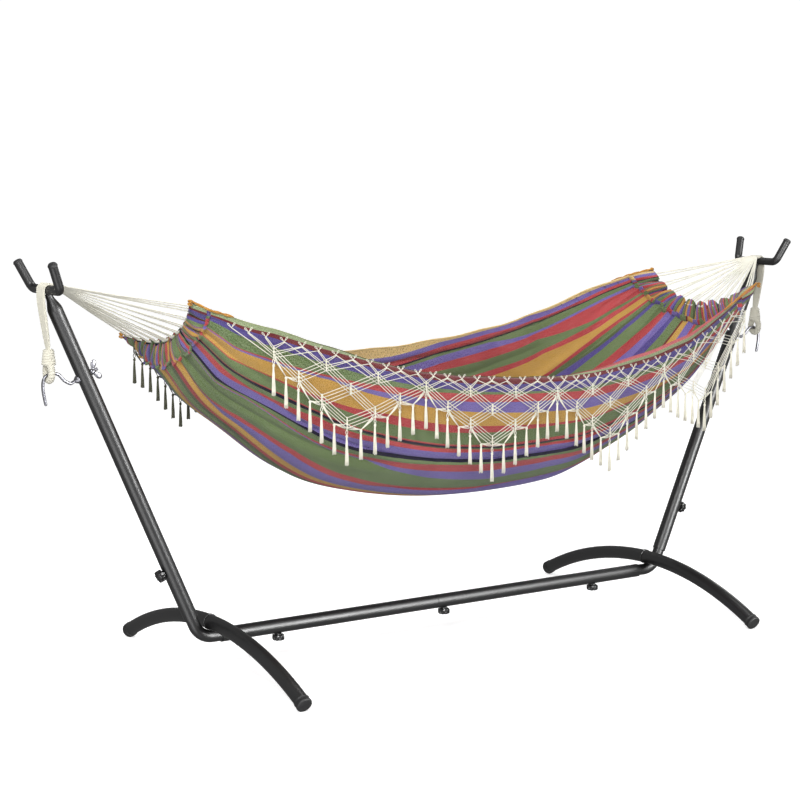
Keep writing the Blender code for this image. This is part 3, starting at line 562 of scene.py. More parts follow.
def powder_coat():
    """Satin black: a fine orange peel, faint handling marks, and slightly rubbed edges."""
    look = Look("powder_coat", 0.38, specular=0.6)
    place = look.place()
    cloud = look.noise(place, 9.0, 4.0, 0.6)
    fine = look.noise(place, 1100.0, 2.0)
    scuffs = look.grain(place, (14.0, 240.0, 240.0), 5.0, 0.7)
    worn = look.range(look.node("ShaderNodeNewGeometry").outputs["Pointiness"], 0.56, 0.66, 0.0, 0.55)
    base = look.shade(cloud, 0.35, 0.7, (8, 8, 9), (15, 15, 16))
    look.into("Base Color", look.mix(worn, base, linear((58, 58, 60))))
    rough = look.range(scuffs, 0.3, 0.75, 0.38, 0.42)
    look.into("Roughness", look.math("ADD", rough, look.range(cloud, 0.3, 0.7, -0.03, 0.03)))
    look.into("Normal", look.bump(fine, 0.00002, 0.4))
    return look.material


def dark_plastic(name, colour, roughness, grain, depth):
    """Moulded plastic or rubber with a fine grain and a little dust."""
    look = Look(name, roughness)
    place = look.place()
    cloud = look.noise(place, 40.0, 3.0)
    fine = look.noise(place, grain, 2.0)
    dust = look.range(look.noise(place, 260.0, 6.0, 0.75), 0.56, 0.72, 0.0, 0.5)
    base = look.shade(cloud, 0.3, 0.7, colour, [c + 9 for c in colour])
    look.into("Base Color", look.mix(dust, base, linear([c + 24 for c in colour])))
    look.into("Roughness", look.range(cloud, 0.3, 0.7, roughness - 0.06, roughness + 0.08))
    look.into("Normal", look.bump(fine, depth, 0.7))
    return look.material


def chrome_plate():
    """Worn plating: brushed a little along one axis, and dull in patches."""
    look = Look("chrome_plate", 0.2, metallic=1.0)
    place = look.place()
    cloud = look.noise(place, 60.0, 4.0, 0.6)
    drawn = look.grain(place, (260.0, 3000.0, 260.0), 3.0)
    look.into("Base Color", look.shade(cloud, 0.4, 0.7, (128, 128, 133), (100, 100, 105)))
    look.into("Roughness", look.range(cloud, 0.3, 0.7, 0.32, 0.40))
    look.into("Normal", look.bump(drawn, 0.000004, 0.2))
    return look.material


def yarn(name, light, dark, nap=1.0):
    """Cotton yarn: fine fibres along it, a little soiling, and a soft sheen."""
    look = Look(name, 0.9, specular=0.15)
    place, along = look.place(), look.cloth_place()
    fibres = look.grain(along, (900.0, 5200.0, 1.0), 3.0, 0.6)
    soil = look.noise(place, 22.0, 4.0, 0.6)
    flecks = look.grain(along, (260.0, 900.0, 1.0))
    share = look.math("ADD", look.range(fibres, 0.3, 0.7, 0.0, 0.45), look.range(soil, 0.35, 0.7, 0.0, 0.35))
    share = look.math("ADD", share, look.range(flecks, 0.5, 0.7, 0.0, 0.3 * nap))
    look.into("Base Color", look.mix(look.math("MINIMUM", share, 1.0), linear(light), linear(dark)))
    look.into("Normal", look.bump(fibres, 0.0003 * nap, 0.6))
    look.sheen(0.25, 0.5)
    return look.material


def hem_yarn():
    """The near hem runs from sage at the left, through a dark olive that is painted shade on the sage, to
    pink at the right.
    """
    look = Look("near_hem_yarn_and_painted_shade", 0.9, specular=0.12)
    uv = look.cloth_place()
    along = look.node("ShaderNodeSeparateXYZ", {"Vector": uv}).outputs["X"]
    fibres = look.grain(uv, (600.0, 900.0, 1.0), 3.0, 0.6)
    # Sage darkens to olive towards the middle: painted shade where the hem lies in shade.
    sage_into_painted_shade = look.shade(along, 0.20, 0.50, (146, 156, 114), (66, 62, 38))
    base = look.mix(look.range(along, 1.15, 1.50, 0.0, 1.0), sage_into_painted_shade, linear((204, 112, 112)))
    dark = look.tinted(base, (150, 140, 130))
    look.into("Base Color", look.mix(look.range(fibres, 0.45, 0.7, 0.0, 0.8), base, dark))
    look.into("Normal", look.bump(fibres, 0.0004, 0.6))
    return look.material


def stripe_ramp(look, place, stripes, start):
    """One constant colour ramp over a run of stripes; the place is measured from its start."""
    end = stripes[-1][1]
    ramp = look.node("ShaderNodeValToRGB")
    ramp.color_ramp.interpolation = "CONSTANT"
    elements = ramp.color_ramp.elements
    elements[0].color = linear(stripes[0][0])
    elements.remove(elements[1])
    edge = stripes[0][1]
    for colour, stop in stripes[1:]:
        elements.new((edge - start) / (end - start)).color = linear(colour)
        edge = stop
    look.tree.links.new(look.range(place, start, end, 0.0, 1.0), ramp.inputs["Fac"])
    return ramp.outputs["Color"]


def striped_cloth(name, shift=0.0, shade=(255, 255, 255)):
    """Plain-woven cotton in dyed stripes, with flecked yarns and a rib that follows each thread."""
    look = Look(name, 0.92, specular=0.12)
    uv = look.cloth_place()
    parts = look.node("ShaderNodeSeparateXYZ", {"Vector": uv})
    along, across = parts.outputs["X"], parts.outputs["Y"]
    wander = look.range(look.grain(uv, (5.0, 30.0, 1.0), 3.0), 0.0, 1.0, -0.0009, 0.0009)
    place = look.math("ADD", look.math("DIVIDE", across, CLOTH_WIDTH), wander)
    place = look.math("ADD", place, shift)
    half = len(STRIPES) // 2
    first = stripe_ramp(look, place, STRIPES[:half], 0.0)
    second = stripe_ramp(look, place, STRIPES[half:], STRIPES[half - 1][1])
    dye = look.mix(look.math("GREATER_THAN", place, STRIPES[half - 1][1]), first, second)
    # A tint below white darkens the whole cloth: the sheet behind the puffs uses it as painted shade.
    dye = look.tinted(dye, shade)

    yarns = look.grain(uv, (28.0, 1150.0, 1.0), 3.0, 0.6)
    flecks = look.grain(uv, (330.0, 620.0, 1.0), 2.0, 0.65)
    clouds = look.noise(look.place(), 7.0, 3.0, 0.5)
    dark = look.tinted(dye, (150, 132, 120))
    # A black yarn shows little of the pale nap that the dyed ones have.
    bright = look.node("ShaderNodeRGBToBW", {"Color": dye}).outputs["Val"]
    light = look.mix(look.range(bright, 0.0, 0.07, 0.0, 0.34), dye, linear((238, 226, 214)))
    base = look.mix(look.range(yarns, 0.44, 0.72, 0.0, 0.45), dye, light)
    base = look.mix(look.range(flecks, 0.38, 0.50, 0.40, 0.0), base, light)
    base = look.mix(look.range(flecks, 0.50, 0.64, 0.0, 0.85), base, dark)
    base = look.mix(look.range(clouds, 0.35, 0.7, 0.0, 0.22), base, dark)
    look.into("Base Color", base)

    warp = look.math("SINE", look.math("MULTIPLY", across, 2 * math.pi / WARP_PITCH))
    weft = look.math("SINE", look.math("MULTIPLY", along, 2 * math.pi / WEFT_PITCH))
    weave = look.bump(look.math("MULTIPLY", warp, weft), 0.00022, 0.8)
    weave = look.bump(yarns, 0.0004, 0.6, weave)
    crumple = look.grain(uv, (16.0, 60.0, 1.0), 4.0, 0.55)
    look.into("Normal", look.bump(crumple, 0.004, 0.22, weave))
    look.sheen(0.22, 0.45)
    return look.material


STEEL = powder_coat()
RUBBER = dark_plastic("cap_rubber", (16, 16, 17), 0.58, 1500.0, 0.00012)
KNOB = dark_plastic("knob_plastic", (12, 12, 13), 0.22, 2400.0, 0.00005)
CHROME = chrome_plate()
CORD = yarn("cotton_cord", (238, 236, 224), (206, 202, 186), 0.4)
# The ropes take the cords' cotton painted darker: painted shade that tones down the strong key light falling
# on them.
ROPE_IN_PAINTED_SHADE = yarn("cotton_rope", (212, 209, 195), (196, 192, 177), 0.1)
NEAR_FRINGE = yarn("fringe_yarn", (246, 244, 232), (216, 210, 190))
# Dark olive on the far fringe is painted shade: the same cream yarn as the near fringe, hanging in shade
# behind the cloth.
SHADED_FAR_FRINGE = yarn("far_fringe_yarn_painted_shade", (92, 92, 74), (54, 56, 42))
NEAR_HEM = hem_yarn()
CREAM_HEM = yarn("cream_hem", (222, 200, 150), (190, 160, 100))
TIE = yarn("corner_tie_yarn", (206, 152, 66), (138, 84, 34))
CLOTH = striped_cloth("striped_cloth")
PATCHES = striped_cloth("striped_patches", 0.0165)
# The sheet behind the puffs: the striped cloth tinted dark, as painted shade.
SHADE_LINING = striped_cloth("striped_lining", 0.004, (96, 86, 92))


# --- Stand ----------------------------------------------------------------------------------------

def upright_point(side, z):
    """The point at this height on an upright's middle line."""
    return Vector((side * (HEAD_X - (HEAD_Z - z) * math.tan(LEAN)), 0, z))


def up_axis(side):
    return Vector((side * math.sin(LEAN), 0, math.cos(LEAN)))


def out_axis(side):
    return Vector((side * math.cos(LEAN), 0, -math.sin(LEAN)))


def elbow_path(side, steps=40):
    """The middle line of an elbow, from inside the beam to inside the upright."""
    beam_in = Vector((side * (BEAM_END_X - STUB_IN), 0, BEAM_Z))
    corner = upright_point(side, BEAM_Z)
    bend = rounded_corner(beam_in, corner, corner + up_axis(side), ELBOW_R, steps)
    return [beam_in] + bend + [bend[-1] + up_axis(side) * (SLEEVE_STEP + STUB_IN)]


def make_beam_tube(word, start_x, end_x):
    """A cut tube with a rolled edge and an open bore at each end."""
    long, bore = end_x - start_x, TUBE_R - WALL
    rim = [(bore, BORE_SHOWN), (bore, 0.0004)] + CUT_EDGE
    profile = [(r, long - z) for r, z in rim] + rim[::-1] + [(bore, long - BORE_SHOWN)]
    on_stand(turned(f"beam_{word}_round", profile, (start_x, 0, BEAM_Z), (1, 0, 0), STEEL))


def make_beam():
    make_beam_tube("left", -BEAM_END_X, BEAM_JOINT_X - GAP)
    make_beam_tube("right", BEAM_JOINT_X, BEAM_END_X)
    low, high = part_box("beam_splice")
    profile = [(0, high.x - low.x), (STUB_R, high.x - low.x), (STUB_R, 0), (0, 0)]
    on_stand(turned("beam_splice_round", profile, (low.x, 0, BEAM_Z), (1, 0, 0), STEEL))


def make_elbows():
    for side, word in SIDES:
        on_stand(rod(f"elbow_{word}_round", elbow_path(side), STUB_R, STEEL))


def make_upright(side, word):
    """The upright is drawn down to a neck, and welded to the head bar with a small bead."""
    foot = elbow_path(side, 8)[-2] + up_axis(side) * SLEEVE_STEP
    head = Vector((side * HEAD_X, 0, HEAD_Z))
    long = (head - foot).length - BAR_R * 0.75
    shoulder, bore = (head - foot).length - NECK_LENGTH, TUBE_R - WALL
    profile = [(0, long), (NECK_R, long)]
    for share in np.arange(16, 0, -1) / 16:
        profile.append((TUBE_R + (NECK_R - TUBE_R) * smooth_step(share), shoulder + NECK_TAPER * share))
    profile += [(TUBE_R, shoulder)] + CUT_EDGE[::-1]
    profile += [(bore, 0.0004), (bore, STUB_IN + 0.02), (0, STUB_IN + 0.02)]
    on_stand(turned(f"upright_{word}_round", profile, foot, up_axis(side), STEEL))
    turn = circle(47)
    seam = []
    for a in turn:
        across = Vector((0, math.cos(a), 0)) + out_axis(side) * math.sin(a)
        bar_face = head - up_axis(side) * math.sqrt(BAR_R ** 2 - (NECK_R * math.sin(a)) ** 2)
        seam.append(bar_face + across * (NECK_R + 0.0006))
    swell = [0.0017 + 0.0004 * math.sin(9 * a) for a in turn]
    stand_in(rod(f"weld_{word}", seam, swell, STEEL, 10, closed=True), "stand", "steel")


def make_head_bar(side, word):
    corner = {way: Vector((side * HEAD_X, way * BAR_HALF, HEAD_Z)) for way, _ in WAYS}
    tip = {way: corner[way] + Vector((side * PRONG.x, way * PRONG.y, PRONG.z)) for way, _ in WAYS}
    front = rounded_corner(tip[-1], corner[-1], corner[1], PRONG_BEND, 16)
    back = rounded_corner(corner[-1], corner[1], tip[1], PRONG_BEND, 16)
    on_stand(rod(f"head_bar_{word}_round", [tip[-1]] + front + back + [tip[1]], BAR_R, STEEL, 44))
    profile = [(0, 0.0102), (0.004, 0.0101), (BAR_R - 0.005, 0.0094), (BAR_R - 0.0022, 0.0084),
               (BAR_R - 0.0006, 0.0064), (BAR_R + 0.0006, 0.0040), (BAR_R + 0.0010, 0.0022),
               (BAR_R + 0.0008, 0.0008), (BAR_R + 0.0002, GAP), (0, GAP)]
    for way, name in WAYS:
        along = tip[way] - corner[way]
        plug = turned(f"prong_plug_{name}_{word}_round", profile, tip[way], along, RUBBER, 40, 50)
        on_stand(plug, "end_cap")


def foot_apex(side):
    """Where the two halves of a foot meet, in the crook of the elbow."""
    centre = elbow_path(side, 8)[1] + Vector((0, 0, ELBOW_R))
    reach = ELBOW_R - STUB_R - RING_SEAT - 2 * GAP
    return centre + Vector((side * math.sin(CROOK), 0, -math.cos(CROOK))) * reach


def foot_path(side, way):
    """The arc of one half of a foot up to its cap, and the direction in which it ends."""
    apex, slope = foot_apex(side), CROOK
    for _ in range(20):
        drop = apex.z - (CAP_R * math.cos(slope) - CAP_FLAT)
        radius = (FOOT_SPAN ** 2 + drop ** 2) / (2 * drop)
        slope = math.asin(FOOT_SPAN / radius)
    points = []
    for a in arc(0.0008, slope - CAP_LENGTH / radius, 36):
        points.append(apex + Vector((0, way * radius * math.sin(a), radius * (math.cos(a) - 1))))
    return points, Vector((0, way * math.cos(slope), -math.sin(slope)))


def make_feet(side, word):
    """Two arched halves with a rubber cap at each end, and the collar where they meet."""
    outer = [(0.0050, 0), (0.0024, 0.0005), (0.0008, 0.0018), (0, 0.0038), (0, 0.0078), (0.0007, 0.0086)]
    mouth = [(CAP_R - 0.0007, 0.0035), (CAP_R - 0.0001, 0.0028), (CAP_R - 0.0001, 0.0008),
             (CAP_R - 0.0009, 0.0), (TUBE_R + GAP, 0.0), (TUBE_R + GAP, 0.004)]
    profile = [(0, CAP_LENGTH)] + [(CAP_R - r, CAP_LENGTH - z) for r, z in outer] + mouth
    for way, name in WAYS:
        points, along = foot_path(side, way)
        tip = points[-1] + along * 0.018
        on_stand(rod(f"foot_{name}_{word}_round", points + [tip], TUBE_R, STEEL))
        cap = turned(f"foot_cap_{name}_{word}_round", profile, points[-1], along, RUBBER, ROUND, 50)
        flatten_under(cap, 0.0)
        on_stand(cap, "end_cap")
    upper = [(TUBE_R + GAP, RING_HALF), (0.0220, RING_HALF), (0.0230, RING_HALF - 0.0005),
             (RING_R, RING_HALF - 0.0015)]
    profile = upper + [(r, -z) for r, z in upper[::-1]]
    on_stand(turned(f"foot_ring_{word}_round", profile, foot_apex(side), (0, 1, 0), STEEL, ROUND, 25))


def flatten_under(obj, height):
    for vert in obj.data.vertices:
        vert.co.z = max(vert.co.z, height)


def make_knob(name, base, direction):
    """A fluted knob: a ribbed grip, a dished face and a raised button."""
    face = [(0, 0.0010), (0.0050, 0.0011), (0.0066, 0.0019), (0.0074, 0.0034), (0.0110, 0.0030),
            (0.0136, 0.0012), (0.0150, 0.0001), (0.0164, 0.0003), (0.0177, 0.0015), (KNOB_R, 0.0040)]
    under = [(KNOB_R, 0.0075), (0.0176, 0.0052), (0.0150, 0.0040), (0.0112, 0.0034), (0.0108, 0.0004),
             (0.0102, 0), (0, 0)]
    profile = [(r, KNOB_HEIGHT - z) for r, z in face] + under
    grip = lambda a: 1 - FLUTE / KNOB_R * (1 - np.cos(KNOB_LOBES * a)) / 1.2
    knob = turned(f"{name}_round", profile, base, direction, KNOB, 128, 38, grip)
    stand_in(knob, name, "knob", name)


def make_knobs():
    """Three under the beam and one on the outside of each upright."""
    for word, x in BEAM_KNOBS.items():
        make_knob(f"beam_knob_{word}", (x, 0, BEAM_Z - TUBE_R - GAP), (0, 0, -1))
    for side, word in SIDES:
        base = upright_point(side, UPRIGHT_KNOB_Z) + out_axis(side) * (TUBE_R + GAP)
        make_knob(f"upright_knob_{word}", base, out_axis(side))


def make_hook(side, word):
    """A bent hook bolt, with a rolled thread on the end that comes through the upright."""
    centre, out = upright_point(side, HOOK_Z), out_axis(side)
    leave = centre + out * (TUBE_R + 0.016)
    bends = [leave, leave + out * 0.008] + [Vector((side * x, 0, z)) for x, z in HOOK_BENDS]
    curve = along_guides([tuple(p) for p in bends], np.linspace(0, 1, 70))
    start, thread_end = np.array(centre - out * 0.043), np.array(centre - out * (TUBE_R + 0.001))
    threaded, radius = [], []
    for i in range(THREAD_STEPS + 1):
        threaded.append(start + (thread_end - start) * i / THREAD_STEPS)
        groove = (1 - math.cos(2 * math.pi * i / STEPS_PER_TURN)) / 2
        radius.append(ROD_R * (1 - THREAD_DEPTH * groove))
    path = np.array(threaded + [tuple(centre)] + curve.tolist())
    tip = [ROD_R * share for share in (0.97, 0.88, 0.70)]
    radius += [ROD_R] * (len(path) - len(radius) - len(tip)) + tip
    on_stand(rod(f"hook_{word}_round", path, radius, CHROME, 28), "chrome_hardware")


def make_washer(side, word):
    centre, out = upright_point(side, HOOK_Z), out_axis(side)
    profile = [(0.0048, 0.0090), (0.0056, 0.0096), (0.0066, 0.0090), (0.0108, 0.0030), (0.0116, 0.0014),
               (0.0114, -0.0015), (0.0104, -0.0022)]
    washer = turned(f"saddle_washer_{word}_round", profile, centre + out * TUBE_R, out, CHROME, 48, 50)
    saddle(washer, centre, up_axis(side), TUBE_R + GAP)
    on_stand(washer, "chrome_hardware")


def make_wing_nut(side, word):
    """A hub with two flat wings that lean away from the upright."""
    inward, up = -out_axis(side), up_axis(side)
    base = upright_point(side, HOOK_Z) + inward * (TUBE_R + GAP)
    body = f"wing_nut_{word}"
    profile = [(0.0043, 0.0118), (0.0050, 0.0120), (0.0062, 0.0118), (0.0070, 0.0106), (0.0084, 0.0050),
               (0.0086, 0.0010), (0.0080, 0), (0.0043, 0)]
    stand_in(turned(f"{body}_round", profile, base, inward, CHROME, 48, 50), body, "chrome_hardware", body)
    for way, name in WAYS:
        lean = (up * way * 0.82 + inward * 0.57).normalized()
        root = base + inward * 0.0072 + up * way * 0.0040
        points, wide = [], []
        for i in range(15):
            points.append(root + lean * (WING_LENGTH * i / 14))
            rounded = math.sqrt(max(0.02, 1 - (i / 14) ** 6))
            wide.append(WING_HALF * (0.55 + 0.45 * float(smooth_step(i / 9))) * rounded)
        wing = rod(f"wing_{name}_{word}", points, wide, CHROME, 24)
        for vert in wing.data.vertices:
            vert.co.y *= WING_FLATNESS
        stand_in(wing, body, "chrome_hardware")


def saddle(obj, centre, axis, radius):
    """Pushes the underside of a washer out to the round of the tube."""
    centre, axis = np.array(centre), np.array(axis)
    for vert in obj.data.vertices:
        away = np.array(vert.co) - centre
        away -= axis * (away @ axis)
        reach = np.linalg.norm(away)
        if reach < radius:
            vert.co = Vector(np.array(vert.co) + away / reach * (radius - reach))


# --- Ropes ----------------------------------------------------------------------------------------

def bundle_path(side, j, layer):
    """One cord of the flat, two-layer bundle, from the whipping up and over the bar."""
    radius = BAR_R + GAP + STRING_R * 1.25 + layer * 0.0026
    spread = (j + 0.5 + 0.5 * layer) / (BUNDLE_CORDS + 0.5) * 2 - 1
    turn = spread * math.pi * 0.5
    tight = 0.0078 - layer * 0.0030
    inner_x = EYE_X + math.cos(turn) * tight * (1 if layer else -1) * 0.6
    points = [(inner_x, math.sin(turn) * tight, WHIPPING[1] - 0.006),
              (EYE_X + 0.002 + 0.003 * layer, spread * 0.0130, WHIPPING[1] + 0.020),
              (EYE_X + 0.008 + 0.003 * layer, spread * 0.0180, 1.020),
              (HEAD_X + radius * 0.96, spread * 0.0215, 1.080)]
    for a in arc(0.0, BUNDLE_WRAP, 10):
        points.append((HEAD_X + radius * math.cos(a), spread * BUNDLE_HALF, HEAD_Z + radius * math.sin(a)))
    path = along_guides(points, np.linspace(0, 1, 90))
    path[:, 0] *= side
    path[:, 1] += 0.0004 * np.sin(np.linspace(0, 9 + j, 90) + 2 * j)
    return path


def make_ropes(side, word):
    """The bundle of cords, the wrapped eye on the hook, and the whipping that holds them together."""
    shape = Shape()
    for layer in (0, 1):
        for j in range(BUNDLE_CORDS):
            shape.tube(bundle_path(side, j, layer), BUNDLE_CORD_R, 9, lobes=2, pitch=0.018, depth=0.06)
    stand_in(shape.object(f"rope_bundle_{word}_cords", ROPE_IN_PAINTED_SHADE), "stand", "cord", f"rope_bundle_{word}")

    loop = []
    for a in circle(300):
        loop.append((side * EYE_X, EYE_HALF_Y * math.sin(a), EYE_Z + EYE_HALF_Z * math.cos(a)))
    long = rod_frames(np.array(loop), True)[2][-1]
    shape = Shape()
    shape.tube(loop, EYE_R, 22, closed=True, lobes=1, pitch=long / round(long / WHIP_PITCH), depth=0.16)
    stand_in(shape.object(f"rope_eye_{word}_wrapped", ROPE_IN_PAINTED_SHADE), "stand", "cord", f"rope_eye_{word}")

    low, high = WHIPPING
    heights = np.linspace(low - 0.012, high + 0.002, 150)
    ends = smooth_step(np.minimum(heights - heights[0], heights[-1] - heights) / 0.003)
    radius = (0.0192 - 0.0040 * (heights - low) / (high - low)) * (0.80 + 0.20 * ends)
    points = [(side * EYE_X, 0, z) for z in heights]
    shape = Shape()
    shape.tube(points, radius, 36, lobes=1, pitch=WHIP_PITCH, depth=0.10)
    stand_in(shape.object(f"whipping_{word}_wrapped", ROPE_IN_PAINTED_SHADE), "stand", "cord", f"whipping_{word}")


# --- Cloth ----------------------------------------------------------------------------------------

def stripe_place(t, v):
    """The place on the flat cloth that lies at share v across the hung cloth, at share t along it."""
    flat = np.empty(np.broadcast(t, v).shape)
    t_all, v_all = np.broadcast_arrays(t, v)
    for i in range(flat.shape[0]):
        station = t_all[i, 0]
        hung, cut = [], []
        for stations, borders in ((NEAR_STATIONS, NEAR_BORDERS), (FAR_STATIONS, FAR_BORDERS)):
            for place, shares in borders:
                hung.append(np.interp(station, stations, np.array(shares) / 1000))
                cut.append(place / 1000)
        flat[i] = np.interp(v_all[i], hung, cut)
    return flat


def pleat_share(t):
    """How strong the pleats are: full at both seams, and gone towards the middle."""
    return np.maximum(0.0, 1 - np.minimum(t, 1 - t) / PLEAT_REACH) ** 1.6


def gathers(t, v):
    """How far the cloth stands out: broad pleats, tight gathers beside the seams, and slight dimples."""
    drift = 0.35 * np.sin(2 * math.pi * (1.7 * v + 0.6 * t))
    drift = drift + 0.22 * np.sin(2 * math.pi * (4.3 * v - 0.9 * t) + 1.0)
    broad = np.cos(2 * math.pi * PLEATS * v)
    tight = np.abs(np.cos(math.pi * (2 * PLEATS * v + drift)))
    near_seam = np.exp(-np.minimum(t, 1 - t) / 0.075)
    further = np.exp(-np.minimum(t, 1 - t) / 0.16)
    ripple = 0.30 * PLEAT_DEPTH * pleat_share(t) * broad + 0.0095 * near_seam * (tight ** 0.7 - 0.45)
    ripple = ripple + 0.0035 * further * np.cos(2 * math.pi * (13 * v + 0.7 * drift) + 2.0 * t)
    dimple = np.sin(2 * math.pi * (6.1 * v + 1.3 * t)) * np.sin(2 * math.pi * (2.2 * t + 3 * v))
    return ripple + 0.0012 * dimple


def folded(ripple, t, v):
    """Adds the folds that run along the cloth: each is a crease with slack cloth beside it."""
    for line, depth, width in FOLDS:
        stations, places = zip(*line)
        centre = np.interp(t, stations, places)
        centre = centre + 0.0015 * np.sin(2 * math.pi * 5.3 * t + 9 * places[0])
        fade = smooth_step((t - stations[0]) / 0.06) * smooth_step((stations[-1] - t) / 0.06)
        side = -1.0 if places[0] < 0.5 else 1.0
        crease = np.exp(-np.abs((v - centre) / width) ** 1.3)
        slack = np.exp(-((v - centre - 2.4 * width) / (1.6 * width)) ** 2)
        ripple = ripple + side * depth * fade * (crease - 0.35 * slack)
    return ripple


def curl_strips(points, near, far, t, v):
    """Curls the strip below each edge: both stand up or hang a little, and the near one leans as well."""
    drop = (near[..., 2] - points[..., 2]) / NEAR_STRIP
    curl = np.clip(1 - drop, 0, 1) ** 1.3 * (v < 0.25)
    rise = np.interp(t, STRIP_STATIONS, STRIP_RISE)
    points[..., 1] += curl * np.interp(t, STRIP_STATIONS, STRIP_INWARD)
    points[..., 2] += curl * (rise + 0.0012 * np.sin(2 * math.pi * 11 * t))
    drop = (far[..., 2] - points[..., 2]) / FAR_STRIP
    curl = np.clip(1 - drop, 0, 1) ** 1.7 * (v > 0.75)
    rise = np.interp(t, FAR_STRIP_STATIONS, FAR_STRIP_RISE)
    points[..., 2] += curl * (rise + 0.0018 * np.sin(2 * math.pi * 9 * t + 0.5))


def cloth_points(t, v):
    """The hung cloth at share t along it and share v across it, from the near edge to the far edge."""
    near, far, low = (along_guides(g, t.ravel())[:, None] for g in (NEAR_EDGE, FAR_EDGE, BOTTOM))
    angle = (v - 0.5) * math.pi
    middle, ends = (near + far) / 2, pleat_share(t)
    lift = np.maximum(0.0, np.cos(angle))
    base = (middle + (far - near) / 2 * np.sin(angle)[..., None]
            + (low - middle) * (lift ** (0.9 + 0.35 * ends))[..., None])
    outward = np.stack([np.zeros_like(angle), np.sin(angle), -np.cos(angle)], -1)
    ripple = folded(gathers(t, v) * lift ** 0.35, t, v)
    points = base + outward * ripple[..., None]
    curl_strips(points, near, far, t, v)
    return points


def make_bed():
    """The woven cloth, with a mesh that is finer towards the seams, the edges and the bottom."""
    t = np.linspace(0, 1, CLOTH_ALONG + 1)
    t = 0.55 * t + 0.225 * (1 - np.cos(math.pi * t))
    v = np.linspace(0, 1, CLOTH_ACROSS + 1)
    v = v - 0.10 * np.sin(4 * math.pi * v) / (4 * math.pi)
    t, v = t[:, None], v[None, :]
    points = cloth_points(t, v)
    uv = np.stack([np.broadcast_to(t, points.shape[:2]) * CLOTH_LENGTH, stripe_place(t, v) * CLOTH_WIDTH], -1)
    shape = Shape()
    shape.grid(points, uv)
    return thicken(shape.object("bed_cloth", CLOTH), CLOTH_T)


def thicken(obj, thickness):
    modifier = obj.modifiers.new("thickness", "SOLIDIFY")
    modifier.thickness = thickness
    modifier.offset = 0.0
    return obj


def edge_roll(name, v, radius, look, drop):
    """The rolled and stitched hem: a soft tube that swells a little between its stitches."""
    t = np.linspace(0.0, 1.0, 900)[:, None]
    points = cloth_points(t, np.full((1, 1), v))[:, 0]
    points[:, 2] += drop
    along = run_lengths(points)
    swell = radius * (0.86 + 0.14 * np.abs(np.sin(math.pi * along / STITCH_PITCH)) ** 0.5
                      + 0.06 * np.sin(2 * math.pi * along / 0.06))
    shape = Shape()
    shape.tube(points, swell, 12)
    return shape.object(name, look)


# --- Headers and strings --------------------------------------------------------------------------

def header_line(guide, v):
    """The outer edge of a header: a curve through three points, from the near side to the far side."""
    a, b, c = (np.array(p) for p in guide)
    v = np.asarray(v)[..., None]
    return a * (1 - v) ** 2 + (2 * b - (a + c) / 2) * 2 * v * (1 - v) + c * v ** 2


def seam_share(side):
    """The share of the cloth's length at a side's seam, as a grid of one point."""
    return np.full((1, 1), 0.0 if side < 0 else 1.0)


def header_base(side, guide, f, v):
    """Between the cords (f = 0) and the seam (f = 1), with the direction that faces out of the trough."""
    v = np.asarray(v).ravel()
    seam = cloth_points(seam_share(side), v[None])[0]
    f = np.asarray(f)[..., None]
    angle = (v - 0.5) * math.pi
    outward = np.stack([side * 0.5 * np.ones_like(angle), 0.8 * np.sin(angle), -np.cos(angle)], -1)
    outward /= np.linalg.norm(outward, axis=1)[:, None]
    return header_line(guide, v) * (1 - f) + seam * f, outward


def header_uv(side, v, u):
    """Texture coordinates whose stripes go on from those of the seam."""
    return np.stack([np.full_like(v, u), stripe_place(seam_share(side), v[None])[0] * CLOTH_WIDTH], -1)


def add_rows(shape, rows, uv, flip):
    points, uv = np.array(rows), np.array(uv)
    if flip:
        points, uv = points[:, ::-1], uv[:, ::-1]
    shape.grid(points, uv)


def make_puffs(side, word, guide):
    """Ten puffs of doubled cloth, each a flat sleeve with an open mouth that its cords come out of."""
    shape = Shape()
    around = np.arange(45) / 44 * 2 * math.pi
    for k in range(PUFFS):
        lean = 0.5 + 0.5 * math.sin(2.4 * k + side)
        # A puff shows the stripes on both sides of its own, and an end puff only its own.
        wrap, middle = 1.15, min(max(k + 0.5, 1.15), PUFFS - 1.15)
        if k in (0, PUFFS - 1):
            wrap, middle = 0.45, k + 0.5
        shown = np.clip((middle + wrap * np.cos(around)) / PUFFS, 0.0, 1.0)
        rows, uv = [], []
        for f in np.linspace(0.0, PATCH + 0.06, 24):
            open_mouth = math.exp(-f / 0.16)
            wide = 0.5 / PUFFS * (0.78 + 0.20 * float(smooth_step(f / 0.5)) - 0.08 * open_mouth * lean)
            v = np.clip((k + 0.5) / PUFFS + wide * np.cos(around), 0.0, 1.0)
            base, outward = header_base(side, guide, f, v)
            thick = 0.0200 * math.sin(math.pi * (0.24 + 0.60 * f / PATCH)) * (0.8 + 0.3 * lean)
            ruck = 0.0014 * np.sin(5 * around + 3 * k + 7 * f) + 0.0009 * np.sin(11 * around - 9 * f + k)
            rows.append(base + outward * (thick * np.sin(around) + ruck)[:, None])
            slack = 0.006 * math.sin(2.1 * k) * (1 - f)
            uv.append(header_uv(side, shown, f * HEADER_LENGTH + slack))
        add_rows(shape, rows, uv, side < 0)
    return thicken(shape.object(f"header_{word}_puffs", CLOTH), CLOTH_T)


def make_shade_lining(side, word, guide):
    """A sheet behind the puffs, in the striped cloth tinted dark: painted shade in the gaps between the
    puffs.
    """
    v, f = np.linspace(0.0, 1.0, 181), np.linspace(0.06, PATCH, 8)
    shape = Shape()
    rows = [header_base(side, guide, g, v)[0] for g in f]
    add_rows(shape, rows, [header_uv(side, v, g * HEADER_LENGTH) for g in f], False)
    return thicken(shape.object(f"header_{word}_shade_lining", SHADE_LINING), LINING_T)


